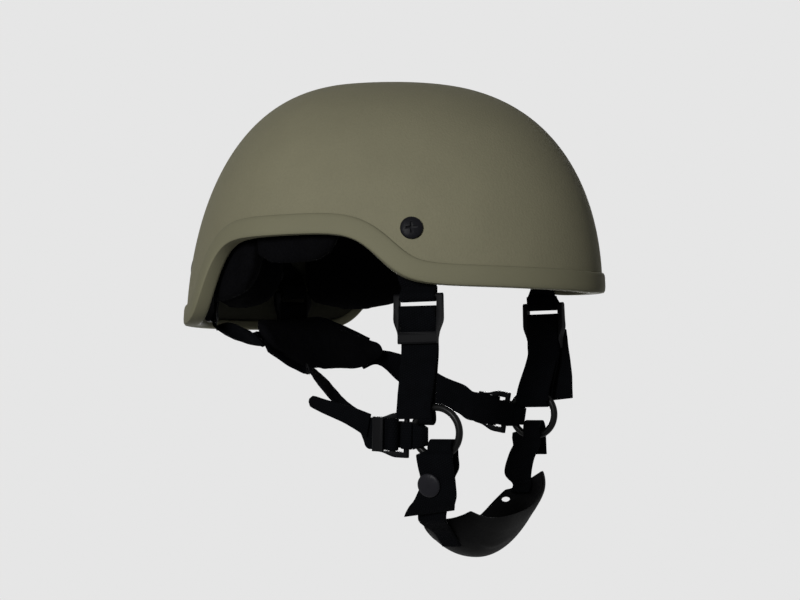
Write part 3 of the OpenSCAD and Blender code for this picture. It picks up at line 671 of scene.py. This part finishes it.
class HelmetHarness(bpy.types.PropertyGroup):
    web_color: bpy.props.FloatVectorProperty(
        name="Webbing", description="Colour of the webbing",
        default=(0.0024, 0.0026, 0.0033), **COLOUR)
    weave_pitch: bpy.props.FloatProperty(
        name="Weave pitch", description="Distance between the webbing's cords",
        min=0.0005, max=0.004, default=0.0015, **LENGTH)
    buckle_color: bpy.props.FloatVectorProperty(
        name="Ladder-locks", description="Colour of the ladder-locks",
        default=(0.0026, 0.0026, 0.0031), **COLOUR)
    steel_color: bpy.props.FloatVectorProperty(
        name="Screws", description="Colour of the screws and nuts",
        default=(0.0055, 0.0055, 0.0068), **COLOUR)
    ring_color: bpy.props.FloatVectorProperty(
        name="Rings", description="Colour of the harness rings",
        default=(0.003, 0.003, 0.003), **COLOUR)
    snap_color: bpy.props.FloatVectorProperty(
        name="Snap", description="Colour of the snap",
        default=(0.0095, 0.0093, 0.0118), **COLOUR)
    cup_color: bpy.props.FloatVectorProperty(
        name="Chin cup", description="Colour of the chin cup",
        default=(0.0022, 0.0022, 0.0024), **COLOUR)


class HelmetPads(bpy.types.PropertyGroup):
    pad_color: bpy.props.FloatVectorProperty(
        name="Pads", description="Colour of the pads' cloth",
        default=(0.0025, 0.0025, 0.003), **COLOUR)
    hook_color: bpy.props.FloatVectorProperty(
        name="Hook tape", description="Colour of the hook tape under the pads",
        default=(0.006, 0.006, 0.007), **COLOUR)
    pressure: bpy.props.FloatProperty(
        name="Filling", description="Pressure of the filling while the cloth settles",
        min=0, max=20, default=4)
    swell: bpy.props.FloatProperty(
        name="Swell", description="Furthest that a pad's cloth may move",
        min=0, max=0.01, default=0.003, **LENGTH)


class HelmetStage(bpy.types.PropertyGroup):
    backdrop: bpy.props.FloatVectorProperty(
        name="Backdrop", description="Colour of the floor and backdrop",
        default=(0.791, 0.791, 0.791), **COLOUR)
    key_power: bpy.props.FloatProperty(
        name="Key lamp", description="Power of the lamp on the left of the camera",
        default=38, **POWER)
    key_turn: bpy.props.FloatProperty(
        name="Key lamp's turn", description="Direction of the lamp round the helmet",
        default=math.radians(-82), **ANGLE)
    key_rise: bpy.props.FloatProperty(
        name="Key lamp's rise", description="Height of the lamp, as an angle",
        default=math.radians(11.5), **ANGLE)
    fill_power: bpy.props.FloatProperty(
        name="Fill lamp", description="Power of the lamp on the side that the camera doesn't see",
        default=36, **POWER)
    air: bpy.props.FloatProperty(
        name="Surrounding light", description="Strength of the even light from all round",
        min=0, max=2, default=0.015)


# Operators: one for each piece or group of like pieces
class Step:
    bl_options = {"REGISTER", "UNDO"}

    def execute(self, context):
        self.build(context)
        clear()
        return {"FINISHED"}


class HELMET_OT_shell(Step, bpy.types.Operator):
    """Make the shell and its coating"""
    bl_idname = "helmet.shell"
    bl_label = "Shell"

    def build(self, context):
        out, inside = 56, 40
        edge = TRIM_T + GAP / 2
        rows = [(i / inside, WALL, TRIM_LEG) for i in range(inside, -1, -1)]
        rows += [(0, WALL, edge), (0, 0.0, edge)] + [(i / out, 0.0, TRIM_W) for i in range(out + 1)]
        top = len(rows) - 1

        def place(u, v):
            k, inset, from_w = rows[round(v * top)]
            return column(u * 360 - 180, k, inset, from_w)
        obj = skin("shell_coat", 288, top, place)
        smooth(obj, 40)
        finish(obj, look("coat"), "shell_coating", "helmet", "shell")
        # Faces turned towards the inside get the darker inner coat, painted shade for the shade inside
        # the shell
        obj.data.materials.append(look("painted_shade_inner_coat"))
        for face in obj.data.polygons:
            p = face.center / MM
            if face.normal.dot(Vector((p.x, p.y - WIDEST_Y, p.z + FOOT_DROP))) < 0:
                face.material_index = 1


class HELMET_OT_trim(Step, bpy.types.Operator):
    """Make the rubber edge trim"""
    bl_idname = "helmet.trim"
    bl_label = "Edge trim"

    def build(self, context):
        g = GAP / 2
        deep = WALL + g
        face = -g - TRIM_T
        section = [
            (0.9, face + 0.35), (1.6, face), (4.0, face - 0.25), (TRIM_W - 3.0, face - 0.2),
            (TRIM_W - 1.1, face + 0.1), (TRIM_W - 0.35, face + 0.5), (TRIM_W, -g - 0.5), (TRIM_W, -g),
            (TRIM_T, -g), (TRIM_T, deep), (TRIM_LEG, deep), (TRIM_LEG, deep + 0.6),
            (TRIM_LEG - 0.5, deep + 1.05), (TRIM_LEG - 1, deep + TRIM_IN), (1.6, deep + TRIM_IN),
            (0.7, deep + TRIM_IN - 0.4), (0.15, deep), (0, WALL - 1.2), (0, 0.6), (0.25, -g - 0.7)
        ]
        n = len(section)

        def place(u, v):
            w, inset = section[round(v * n) % n]
            return rim_point(u * 360 - 180, w, inset)
        obj = skin("trim_rubber", 360, n, place)
        smooth(obj, 45)
        finish(obj, look("rubber"), "trim_rubber", "helmet", "edge_trim")


class HELMET_OT_screws(Step, bpy.types.Operator):
    """Round the edges of the screws and nuts"""
    bl_idname = "helmet.screws"
    bl_label = "Screws and nuts"

    def build(self, context):
        for node in ("harness_screws", "harness_nuts"):
            obj = recast(node.replace("harness_", "round_"), node, 0.25)
            finish(obj, look("steel"), "blackened_steel", "helmet", node)


PAD_MIDDLE = Vector((0, WIDEST_Y - LEAN / 2, 20))
CLOTH_STIFFNESS, CLOTH_FRAMES = 8, 20
PAD_GRAIN = 4.2


def settle(obj, held):
    """Let a pad's cloth settle over its filling; held(point, normal) says what stays"""
    pads = bpy.context.scene.helmet_pads
    rest = [v.co.copy() for v in obj.data.vertices]
    group = obj.vertex_groups.new(name="held")
    group.add([v.index for v in obj.data.vertices if held(v.co / MM, v.normal)], 1.0, "REPLACE")
    only(obj)
    cloth = obj.modifiers.new("Cloth", "CLOTH")
    cloth.settings.use_pressure = True
    cloth.settings.uniform_pressure_force = pads.pressure
    cloth.settings.vertex_group_mass = "held"
    cloth.settings.effector_weights.gravity = 0
    cloth.settings.tension_stiffness = CLOTH_STIFFNESS
    cloth.settings.compression_stiffness = CLOTH_STIFFNESS
    cloth.point_cache.frame_end = CLOTH_FRAMES
    for f in range(1, CLOTH_FRAMES + 1):
        bpy.context.scene.frame_set(f)
    bpy.ops.object.modifier_apply(modifier=cloth.name)
    bpy.context.scene.frame_set(1)
    for v, p in zip(obj.data.vertices, rest):
        step = v.co - p
        if step.length > pads.swell:
            v.co = p + step * (pads.swell / step.length)
    obj.vertex_groups.clear()


def swollen(name, node, held, spread):
    """A pad of even faces, spread along the wall and swollen by its filling"""
    obj = recast(name, node)
    modify(obj, "REMESH", mode="VOXEL", voxel_size=PAD_GRAIN * MM, adaptivity=0)
    middle = sum((v.co for v in obj.data.vertices), Vector()) / len(obj.data.vertices)
    inner = PAD_MIDDLE * MM
    out = (middle - inner).normalized()
    for v in obj.data.vertices:
        q = v.co - middle
        reach = (v.co - inner).length
        p = v.co + (q - out * q.dot(out)) * spread - inner
        v.co = inner + p * (reach / p.length) * (1 - spread * 0.04)
    settle(obj, held)
    modify(obj, "SUBSURF", levels=1, render_levels=1)
    smooth(obj)
    return obj


class HELMET_OT_pads(Step, bpy.types.Operator):
    """Make the suspension pads inside the shell and their hook tape"""
    bl_idname = "helmet.pads"
    bl_label = "Pads"

    def build(self, context):
        def held(p, n):
            return n.dot((p - PAD_MIDDLE).normalized()) > 0.1
        for node in ("crown_pad", "front_pad", "rear_pad", "side_pad_front_r", "side_pad_front_l",
                     "side_pad_rear_r", "side_pad_rear_l"):
            # The pads are real, but the rear ones are spread wider than the part's pads so that their
            # dark cloth also covers the gap between them: painted shade for the shade on the inner
            # wall there
            obj = swollen(node + "_cloth", node, held, 0.2 if "rear" in node else 0.04)
            finish(obj, look("knit"), "pad_cloth", "helmet", node)
        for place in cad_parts["hook_patches"].material_slots:
            place.material = look("hook")


class HELMET_OT_nape(Step, bpy.types.Operator):
    """Make the nape pad"""
    bl_idname = "helmet.nape"
    bl_label = "Nape pad"

    def build(self, context):
        n, top = 40, 72

        def place(u, w):
            k = mix(-1, 1, u)
            i = round(u * top)
            if i in (0, top):
                return (nape_cloth(k, 0) + nape_cloth(k, 180)) / 2
            p = nape_cloth(k, 360 * (round(w * n) % n) / n)
            return p + Vector((0, 0, 1)) * (noise.noise(p * 0.09) * 1.1 + noise.noise(p * 0.3) * 0.35)
        obj = skin("nape_cloth", top, n, place, (NAPE_W, 2 * NAPE_H))
        settle(obj, lambda p, n: abs(n.dot(Vector((0, 1, -1)).normalized())) < 0.25)
        modify(obj, "SUBSURF", levels=1, render_levels=1)
        smooth(obj)
        finish(obj, look("knit"), "pad_cloth", "helmet", "nape_pad")


def frame_of(place):
    """The matrix of a place function"""
    origin = place((0, 0, 0))
    axes = [place(axis) - origin for axis in ((1, 0, 0), (0, 1, 0), (0, 0, 1))]
    return Matrix.Translation(origin) @ Matrix(axes).transposed().to_4x4()


def cut_across(place, axis):
    """A step for in_edit that adds a row of vertices where a plane meets the mesh"""
    def step():
        bpy.ops.mesh.select_all(action="SELECT")
        bpy.ops.mesh.bisect(plane_co=place, plane_no=axis)
    return step


class HELMET_OT_locks(Step, bpy.types.Operator):
    """Draw in the feet of the ladder-locks and round their edges"""
    bl_idname = "helmet.locks"
    bl_label = "Ladder-locks"

    def build(self, context):
        for side, end in SIDES:
            kinds = (
                ("front", in_front_lock(side), WEB_W, FRONT_LOCK_H),
                ("side", in_side_lock(side), SLIM_W, SLIM_LOCK_H),
                ("rear", in_rear_lock(side), SLIM_W, SLIM_LOCK_H)
            )
            for kind, place, width, height in kinds:
                node = f"{kind}_lock_{end}"
                obj = recast(node + "_round", node, 0.6, segments=3)
                there = frame_of(place)
                back = there.inverted()
                low = BAR_D / 2 - height
                axis = there.to_3x3() @ Vector((0, 0, 1))
                cuts = [there @ Vector((0, 0, low + k)) * MM for k in range(3, 16, 2)]
                in_edit(obj, *[cut_across(p, axis) for p in cuts])
                inner = width / 2 + 0.4
                for v in obj.data.vertices:
                    p = back @ (v.co / MM)
                    foot = min(max((15 - p.z + low) / 10, 0), 1)
                    foot = foot * foot * (3 - 2 * foot)
                    if abs(p.y) > inner and foot > 0:
                        drawn = inner + (abs(p.y) - inner) * (1 - 0.86 * foot)
                        p.y = math.copysign(drawn, p.y)
                        v.co = (there @ p) * MM
                smooth(obj, 40)
                body = f"lock_{end}" if kind == "front" else "helmet"
                finish(obj, look("buckle"), "buckle_plastic", body, node)


class HELMET_OT_rings(Step, bpy.types.Operator):
    """Make the harness rings"""
    bl_idname = "helmet.rings"
    bl_label = "Rings"

    def build(self, context):
        for side, end in SIDES:
            node = "ring_" + end
            clear()
            bpy.ops.mesh.primitive_torus_add(
                major_segments=96, minor_segments=24,
                major_radius=RING_R * MM, minor_radius=WIRE_D / 2 * MM)
            obj = bpy.context.object
            obj.name = obj.data.name = node + "_enamel"
            place = in_ring(side)
            for v in obj.data.vertices:
                p = v.co / MM
                v.co = place((p.z, p.y, -p.x)) * MM
            in_edit(obj, outwards)
            smooth(obj)
            finish(obj, look("ring"), "ring_enamel", "helmet", node)


def webbing(body, node, *parts):
    """Join the webbing of a node, and let it stand for that node"""
    return finish(joined(node + "_web", parts), look("woven_webbing"), "webbing", body, node)


def wall_way(start, stop, w, lift):
    """Stations down the inner wall of the shell"""
    rows = []
    for k in (0, 0.25, 0.5, 0.75, 1):
        a, z = mix(start[0], stop[0], k), mix(start[1], stop[1], k)
        inset = WALL + 0.45 + WEB_T / 2 + lift * k * k
        p = shell_point(a, z, inset)
        d = shell_point(a + (stop[0] - start[0]) / 9, z + (stop[1] - start[1]) / 9, inset) - p
        rows.append((p, shell_normal(a, z, WALL).cross(d), w))
    return rows


def lock_thread(place, w, h):
    """Webbing over a ladder-lock's middle bar"""
    low = -h + BAR_D / 2
    path = [(-2.1, low), (-2.1, low + 7)] + arc((0, -BAR_STEP), WRAP_R, 185, -25, 10)
    return band("thread", place, path + [(0, low + 8), (-0.2, low)], -w / 2, w / 2)


def bar_wrap(place, w):
    """Webbing round a ladder-lock's top bar"""
    path = [(-2.9, 6)] + arc((0, 0), WRAP_R, 180, 420, 12) + [(-0.9, 4.8), (-1.1, 6)]
    return band("wrap", place, path, -w / 2, w / 2)


class HELMET_OT_tabs(Step, bpy.types.Operator):
    """Make the webbing tabs that hold the front and rear ladder-locks"""
    bl_idname = "helmet.tabs"
    bl_label = "Tabs"

    def build(self, context):
        for side, end in SIDES:
            w = WEB_W - 1
            way = wall_way((FRONT_SCREW[0], FRONT_SCREW[1] + 11), (44.4, 9), w, 3.2)
            way.append((FRONT_BAR - FRONT_OUT * 2.1 + Vector((0, 0, 4.8)), FRONT_ACROSS, w))
            webbing("helmet", f"front_tab_{end}", ribbon("tab", on_side(side), way),
                    bar_wrap(in_front_lock(side), w))
            w = SLIM_W - 1
            way = wall_way((REAR_SCREW[0] + 3, REAR_SCREW[1] + 10), (150, 17), w, 1.5)
            way += [(REAR_BAR + REAR_OUT * 1.1 + Vector((0, 0, 8)), REAR_ACROSS, w),
                    (REAR_BAR + REAR_OUT * 0.3 + Vector((0, 0, 5)), REAR_ACROSS, w)]
            webbing("helmet", f"rear_tab_{end}", ribbon("tab", on_side(side), way),
                    bar_wrap(in_rear_lock(side), w))


class HELMET_OT_front_straps(Step, bpy.types.Operator):
    """Make the front straps, what runs through their ladder-locks, and the loose end"""
    bl_idname = "helmet.front_straps"
    bl_label = "Front straps"

    def build(self, context):
        low = FRONT_LOCK_H - BAR_D / 2
        for side, end in SIDES:
            rear = 24.5 if side < 0 else 10
            mid = rear - WEB_W / 2
            place, lock = in_ring(side), in_front_lock(side)
            across = lock((0, 1, 0)) - lock((0, 0, 0))
            turn = arc((0, 4.2 + LEVEL_1 + WEB_T / 2), LEVEL_1, 0, -180, 10)
            path = [(LEVEL_1, 12)] + turn + [(-LEVEL_1, 12)]
            parts = [band("loop", place, path, max(rear - WEB_W, -11), 10)]
            for s in (-1, 1):
                x = s * 0.95 - 1.15
                run = [(place((s * LEVEL_1, mid, z)), Vector((0, 1, 0)), WEB_W) for z in (8.2, 13)]
                run += [(lock((x, 0, z)), across, WEB_W) for z in (-low - 4, 1.2 - low)]
                parts.append(strap("run", run, steps=6))
            obj = webbing(None, f"front_strap_{end}", *parts)
            top = on_side(side)(FRONT_BAR)
            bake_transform(obj)
            webbing(f"lock_{end}", f"front_thread_{end}", lock_thread(lock, WEB_W, FRONT_LOCK_H))
        webbing("lock_l", "front_tail_l", ribbon("tail", on_side(L), [
            ((89.3, -79.5, -20), (0.13, 1, 0), 8), ((89.3, -80, -33), (0.13, 1, 0), 10),
            ((88.2, -80.5, -48), (0.13, 1, 0), 14), ((86.5, -79.5, -66), (0.13, 1, -0.08), 18.5)
        ], steps=6))


class HELMET_OT_side_straps(Step, bpy.types.Operator):
    """Make the side straps, their loops round the rings, and the loose end"""
    bl_idname = "helmet.side_straps"
    bl_label = "Side straps"

    def build(self, context):
        full = SLIM_W
        foot = SIDE_BAR + SLIM_LOCK_H - BAR_D / 2
        ways = {
            R: [((75, -20, -77), (0, 0.4, 1), full - 1), ((70, -9, -69.5), (-0.1, 0.55, 1), full - 3),
                ((60, 13.7, -53), (-1, 0.35, 0.2), full), ((52, 27, -44.5), (-1, 0.5, 0.1), full)],
            L: [((75, -12, -64.5), (0, -0.3, 1), full), ((70, 1, -58.5), (0, -0.4, 1), full),
                ((65, 21, -46.5), (0, -0.5, 1), full)]
        }
        seats = {
            R: [(0.3, -0.86, 11), (0.55, -0.52, 12), (0.88, 0.06, 10)],
            L: [(0.9, -0.3, 13), (0.7, -0.5, 13)]
        }
        path = [(LEVEL_1, -14.2)] + arc((0, -6 - WEB_T / 2 - LEVEL_1), LEVEL_1, 0, 180, 10)
        path += [(-LEVEL_1 - 0.1, -16.8)] + arc((0, -SIDE_BAR), WRAP_R, 200, 340, 10)
        path += [(LEVEL_1 + 0.1, -16.8), (LEVEL_1, -14.8)]
        wide = full - 3
        loop = [((x, 0, z), (0, 1, 0), mix(11, wide, min(max((-z - 8) / 5, 0), 1))) for x, z in path]
        cover = [((-3.9, 0, z), (0, 1, 0), w)
                 for z, w in ((-12.5, 12), (-15, 15.5), (-21, wide), (-28, wide), (-33, 15))]
        for side, end in SIDES:
            place, tilt = in_side(side), SIDE_TILT[side]
            run = [(ring_place(side, (-1.15, y * cos(tilt), y * sin(tilt) - SIDE_DROP)),
                    (0, -sin(tilt), cos(tilt)), full) for y in (foot - 0.5, foot + 4)]
            run += ways[side] + nape_run(side, seats[side])
            thread = lock_thread(in_side_lock(side), full, SLIM_LOCK_H)
            webbing("helmet", f"side_strap_{end}", thread, ribbon("run", on_side(side), run, steps=6))
            webbing("helmet", f"side_loop_{end}", ribbon("loop", place, loop, steps=2),
                    ribbon("cover", place, cover, steps=3))
        webbing("helmet", "side_tail_r", ribbon("tail", on_side(R), [
            ((81.4, -32, -80.5), (0, -0.2, 1), 14), ((80.8, -17, -74), (0, -0.3, 1), 11),
            ((80.2, 0, -68.5), (0, -0.3, 1), 8.5), ((79.5, 11, -64.5), (0, -0.3, 1), 7)
        ], steps=6, tip=3))


class HELMET_OT_rear_straps(Step, bpy.types.Operator):
    """Make the straps from the rear ladder-locks to the nape pad"""
    bl_idname = "helmet.rear_straps"
    bl_label = "Rear straps"

    def build(self, context):
        low = SLIM_LOCK_H - BAR_D / 2
        down = Vector((0, 0, 1))
        places = {
            R: [(0.95, 0.36, 11), (0.8, 0.4, 11), (0.66, 0.4, 11)],
            L: [(0.36, 0.86, 16), (0.6, 0.5, 15), (0.86, 0.1, 11)]
        }
        for side, end in SIDES:
            seats = nape_run(side, places[side])
            knee = mix(REAR_BAR - down * (low + 6), seats[0][0], 0.6) + down * 1.5
            run = [
                (REAR_BAR - REAR_OUT * 1.15 - down * (low - 0.5), REAR_ACROSS, SLIM_W),
                (REAR_BAR - REAR_OUT * 1.6 - down * (low + 3), REAR_ACROSS, SLIM_W),
                (knee, mix(REAR_ACROSS, seats[0][1], 0.7), SLIM_W - 2)
            ]
            thread = lock_thread(in_rear_lock(side), SLIM_W, SLIM_LOCK_H)
            webbing("helmet", f"rear_strap_{end}", thread,
                    ribbon("run", on_side(side), run + seats, steps=5))


FLAP_Z = -16.0
FLAP = [
    ((LEVEL_2 + 1.1, -0.5, FLAP_Z + 3.4), (0, 1, 0), 23),
    ((LEVEL_2 + 0.9, -0.5, FLAP_Z + 0.5), (0, 1, 0), 23),
    ((LEVEL_2 + 0.2, -0.8, -20.5), (0, 1, 0), 22.5),
    ((3.94, -1.2, -30), (0, 1, 0), 22.4), ((2.6, 1.5, -39), (0, 1, -0.03), 27),
    ((-0.6, 6, -44.5), (0, 1, -0.08), 31), ((-4.5, 9.2, -48.5), (0, 1, -0.13), 33.6)
]


class HELMET_OT_chin_straps(Step, bpy.types.Operator):
    """Make the chin straps from the rings to the chin cup"""
    bl_idname = "helmet.chin_straps"
    bl_label = "Chin straps"

    def build(self, context):
        for side, end in SIDES:
            near = side < 0
            front, rear = (-11, 4) if near else (-6, 5.2)
            wide_front, wide_rear = (-12, 11) if near else (-6, 17)
            low = FLAP_Z + WEB_T / 2 + GAP if near else -27
            y, w = (front + rear) / 2, rear - front
            wide_y, wide_w = (wide_front + wide_rear) / 2, wide_rear - wide_front
            turn = arc((0, -4.2 - WEB_T / 2 - LEVEL_2), LEVEL_2, 180, 0, 12)
            path = [(-LEVEL_2, FLAP_Z + 5)] + turn + [(LEVEL_2, -10.4)]
            rows = [((x, y, z), (0, 1, 0), w) for x, z in path]
            rows += [((LEVEL_2, wide_y, z), (0, 1, 0), wide_w) for z in (-12.6, (low - 12.6) / 2, low)]
            if near:
                fall = [(-LEVEL_2, -3.5, FLAP_Z + 6), (-LEVEL_2, -3.5, FLAP_Z + 2), (-4.9, -2, -22),
                        (-4.9, 1, -28), (-5.2, 3, -36), (-6.5, 7, -45), (-10, 10, -53)]
                seats, top_w = ((0.05, -1.3), (0.15, -1.1)), 15.6
            else:
                fall = [(-LEVEL_2, -0.4, FLAP_Z + 6), (-LEVEL_2, -0.4, FLAP_Z + 2), (-6, 3, -20),
                        (-9.5, 6, -28), (-18.6, 5, -38)]
                seats, top_w = ((0.97, 1.9), (0.92, 2.4)), 11.8
            way = [ring_place(side, p) for p in fall] + [cup_seat(side, k, h) for k, h in seats]
            widths = [top_w] * 2 + [19] * (len(way) - 4) + [13] * 2
            run = [(p, (0, 1, 0), wide) for p, wide in zip(way, widths)]
            webbing("chin", f"chin_strap_{end}", ribbon("loop", in_ring(side), rows, steps=2),
                    ribbon("fall", on_side(side), run, steps=5))


class HELMET_OT_snap(Step, bpy.types.Operator):
    """Make the flap over the right chin strap and its snap"""
    bl_idname = "helmet.snap"
    bl_label = "Flap and snap"

    def build(self, context):
        place = in_ring(R)
        obj = ribbon("flap_web", place, FLAP, steps=8, t=WEB_T + 0.4)
        finish(obj, look("woven_webbing"), "webbing", None, "snap_flap")
        tuple(place((LEVEL_2, 0, FLAP_Z + 1.5)) * MM)
        tuple(place((LEVEL_2, 0, FLAP_Z - 3)) * MM)
        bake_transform(obj)
        for node, bevel, body in (("snap_cap", 0.25, "flap"), ("snap_stud", 0.15, "chin")):
            finish(recast(node + "_round", node, bevel), look("snap"), "snap_metal", body, node)


class HELMET_OT_cup(Step, bpy.types.Operator):
    """Make the chin cup"""
    bl_idname = "helmet.cup"
    bl_label = "Chin cup"

    def build(self, context):
        half = CUP_T / 2
        bound = half + 0.45
        face = [(-0.985, bound * 0.8), (-0.95, bound), (-0.87, bound), (-0.84, half)]
        face += [(sin(mix(-56, 56, i / 40)), half) for i in range(41)]
        face += [(0.84, half), (0.87, bound), (0.95, bound), (0.985, bound * 0.8)]
        section = face + [(1, half * 0.6), (1.012, 0), (1, -half * 0.6)]
        section += [(-v, -h) for v, h in face] + [(-1, -half * 0.6), (-1.012, 0), (-1, half * 0.6)]
        ends = [(0, 0), (0.001, 0.75), (0.006, 1)]
        rows = ends + [(mix(0.006, 0.994, i / 80), 1) for i in range(1, 80)]
        rows += [(1 - k, h) for k, h in reversed(ends)]
        n, top = len(section), len(rows) - 1

        def place(u, w):
            k, full = rows[round(u * top)]
            v, h = section[round(w * n) % n]
            if h < 0:
                crease = (v - CREASE_AT - 0.05 * math.sin(k * 16)) / CREASE_W
                h -= math.exp(-crease ** 2) * max(math.sin(math.pi * min(k / CREASE_END, 1)), 0)
            return cup_point(k, v, h * full)
        obj = skin("cup_leather", top, n, place, (150, 2 * CUP_W))
        clear()
        bpy.ops.mesh.primitive_cylinder_add(
            vertices=32, radius=SLOT_L / 2 * MM, depth=40 * MM, rotation=(0, math.pi / 2, 0),
            location=(CUP_MID + SLOT_MID) * MM)
        cutter = bpy.context.object
        bpy.ops.transform.resize(value=(1, 1, 0.5))
        modify(obj, "BOOLEAN", operation="DIFFERENCE", object=cutter)
        bpy.data.objects.remove(cutter)
        smooth(obj, 60)
        finish(obj, look("leather"), "cup_leather", "chin", "chin_cup")


CAMERA = Vector((-1.2911, -0.7387, -0.0746))
CAMERA_AZ, CAMERA_EL, CAMERA_ROLL = -59.56, -3.31, 0.92
LENS, SHIFT_X, SHIFT_Y = 104.47, 0.0492, -0.02315
FLOOR_SIZE, FLOOR_AT = 3, (0.2, 0.1, -0.8)
LAMP_REACH, KEY_SIZE, FILL_SIZE = 2.2, 0.5, 0.8
FILL_TURN, FILL_RISE = 115, 4


def toward(az, el):
    """The direction that a turn from the front and a rise give"""
    return Vector((sin(az) * cos(el), -cos(az) * cos(el), sin(el)))


class HELMET_OT_stage(Step, bpy.types.Operator):
    """Make the camera, the lamps, the floor and the backdrop"""
    bl_idname = "helmet.stage"
    bl_label = "Stage"

    def backed(self, tree, output, plain, seen_kind, colour):
        """Camera, glossy and transmission rays see the backdrop's colour"""
        rays = tree.nodes.new("ShaderNodeLightPath").outputs
        through = math_node(tree, "MAXIMUM", rays["Is Glossy Ray"], rays["Is Transmission Ray"])
        seen = tree.nodes.new(seen_kind)
        seen.inputs["Color"].default_value = (*colour, 1)
        mixed = tree.nodes.new("ShaderNodeMixShader")
        tree.links.new(math_node(tree, "MAXIMUM", rays["Is Camera Ray"], through), mixed.inputs[0])
        tree.links.new(plain.outputs[0], mixed.inputs[1])
        tree.links.new(seen.outputs[0], mixed.inputs[2])
        tree.links.new(mixed.outputs[0], tree.nodes[output].inputs["Surface"])

    def build(self, context):
        scene = context.scene
        stage = scene.helmet_stage
        scene.view_settings.view_transform = "Standard"
        back = toward(CAMERA_AZ, CAMERA_EL)
        right = Vector((cos(CAMERA_AZ), sin(CAMERA_AZ), 0))
        up = back.cross(right)
        tilted = right * cos(CAMERA_ROLL) - up * sin(CAMERA_ROLL)
        over = right * sin(CAMERA_ROLL) + up * cos(CAMERA_ROLL)
        data = bpy.data.cameras.new("camera")
        data.sensor_width = 36
        data.lens = LENS
        data.shift_x = SHIFT_X
        data.shift_y = SHIFT_Y
        camera = bpy.data.objects.new("camera", data)
        scene.collection.objects.link(camera)
        turn = Matrix((tilted, over, back)).transposed().to_4x4()
        camera.matrix_world = Matrix.Translation(CAMERA) @ turn
        scene.camera = camera

        clear()
        bpy.ops.mesh.primitive_plane_add(size=FLOOR_SIZE, location=FLOOR_AT)
        floor = context.object
        floor.name = floor.data.name = "floor"
        bpy.ops.object.transform_apply(location=True)
        m = bpy.data.materials.new("floor")
        m.use_nodes = True
        matt = m.node_tree.nodes["Principled BSDF"]
        matt.inputs["Base Color"].default_value = (0.4, 0.4, 0.4, 1)
        matt.inputs["Roughness"].default_value = 0.9
        self.backed(m.node_tree, "Material Output", matt, "ShaderNodeEmission", stage.backdrop)
        floor.data.materials.append(m)

        world = bpy.data.worlds.new("studio")
        scene.world = world
        world.use_nodes = True
        tree = world.node_tree
        plain = tree.nodes["Background"]
        plain.inputs["Color"].default_value = (1, 1, 1, 1)
        plain.inputs["Strength"].default_value = stage.air
        self.backed(tree, "World Output", plain, "ShaderNodeBackground", stage.backdrop)

        turn, lift = math.degrees(stage.key_turn), math.degrees(stage.key_rise)
        for name, place, size, power in (
            ("key", toward(turn, lift), KEY_SIZE, stage.key_power),
            ("fill", toward(FILL_TURN, FILL_RISE), FILL_SIZE, stage.fill_power)
        ):
            data = bpy.data.lights.new(name, "AREA")
            data.size = size
            data.energy = power
            lamp = bpy.data.objects.new(name, data)
            lamp.location = place * LAMP_REACH
            lamp.rotation_euler = place.to_track_quat("Z", "Y").to_euler()
            scene.collection.objects.link(lamp)


SETTINGS = {
    "helmet_shell": HelmetShell, "helmet_harness": HelmetHarness, "helmet_pads": HelmetPads,
    "helmet_stage": HelmetStage
}
STEPS = (
    HELMET_OT_shell, HELMET_OT_trim, HELMET_OT_screws, HELMET_OT_pads, HELMET_OT_nape,
    HELMET_OT_locks, HELMET_OT_rings, HELMET_OT_tabs,
    HELMET_OT_front_straps, HELMET_OT_side_straps, HELMET_OT_rear_straps,
    HELMET_OT_chin_straps, HELMET_OT_snap, HELMET_OT_cup, HELMET_OT_stage
)


class HELMET_PT_panel(bpy.types.Panel):
    bl_idname = "HELMET_PT_panel"
    bl_label = "Combat helmet"
    bl_space_type = "VIEW_3D"
    bl_region_type = "UI"
    bl_category = "Helmet"

    def draw(self, context):
        for key in SETTINGS:
            settings = getattr(context.scene, key)
            box = self.layout.box()
            for name in settings.bl_rna.properties.keys():
                if name not in ("rna_type", "name"):
                    box.prop(settings, name)
        for step in STEPS:
            self.layout.operator(step.bl_idname)


def register():
    for kind in (*SETTINGS.values(), *STEPS, HELMET_PT_panel):
        bpy.utils.register_class(kind)
    for key, kind in SETTINGS.items():
        setattr(bpy.types.Scene, key, bpy.props.PointerProperty(type=kind))


def unregister():
    for key in SETTINGS:
        delattr(bpy.types.Scene, key)
    for kind in reversed((*SETTINGS.values(), *STEPS, HELMET_PT_panel)):
        bpy.utils.unregister_class(kind)


def main():
    register()
    for step in STEPS:
        group, name = step.bl_idname.split(".")
        getattr(getattr(bpy.ops, group), name)()


if __name__ == "__main__":
    main()
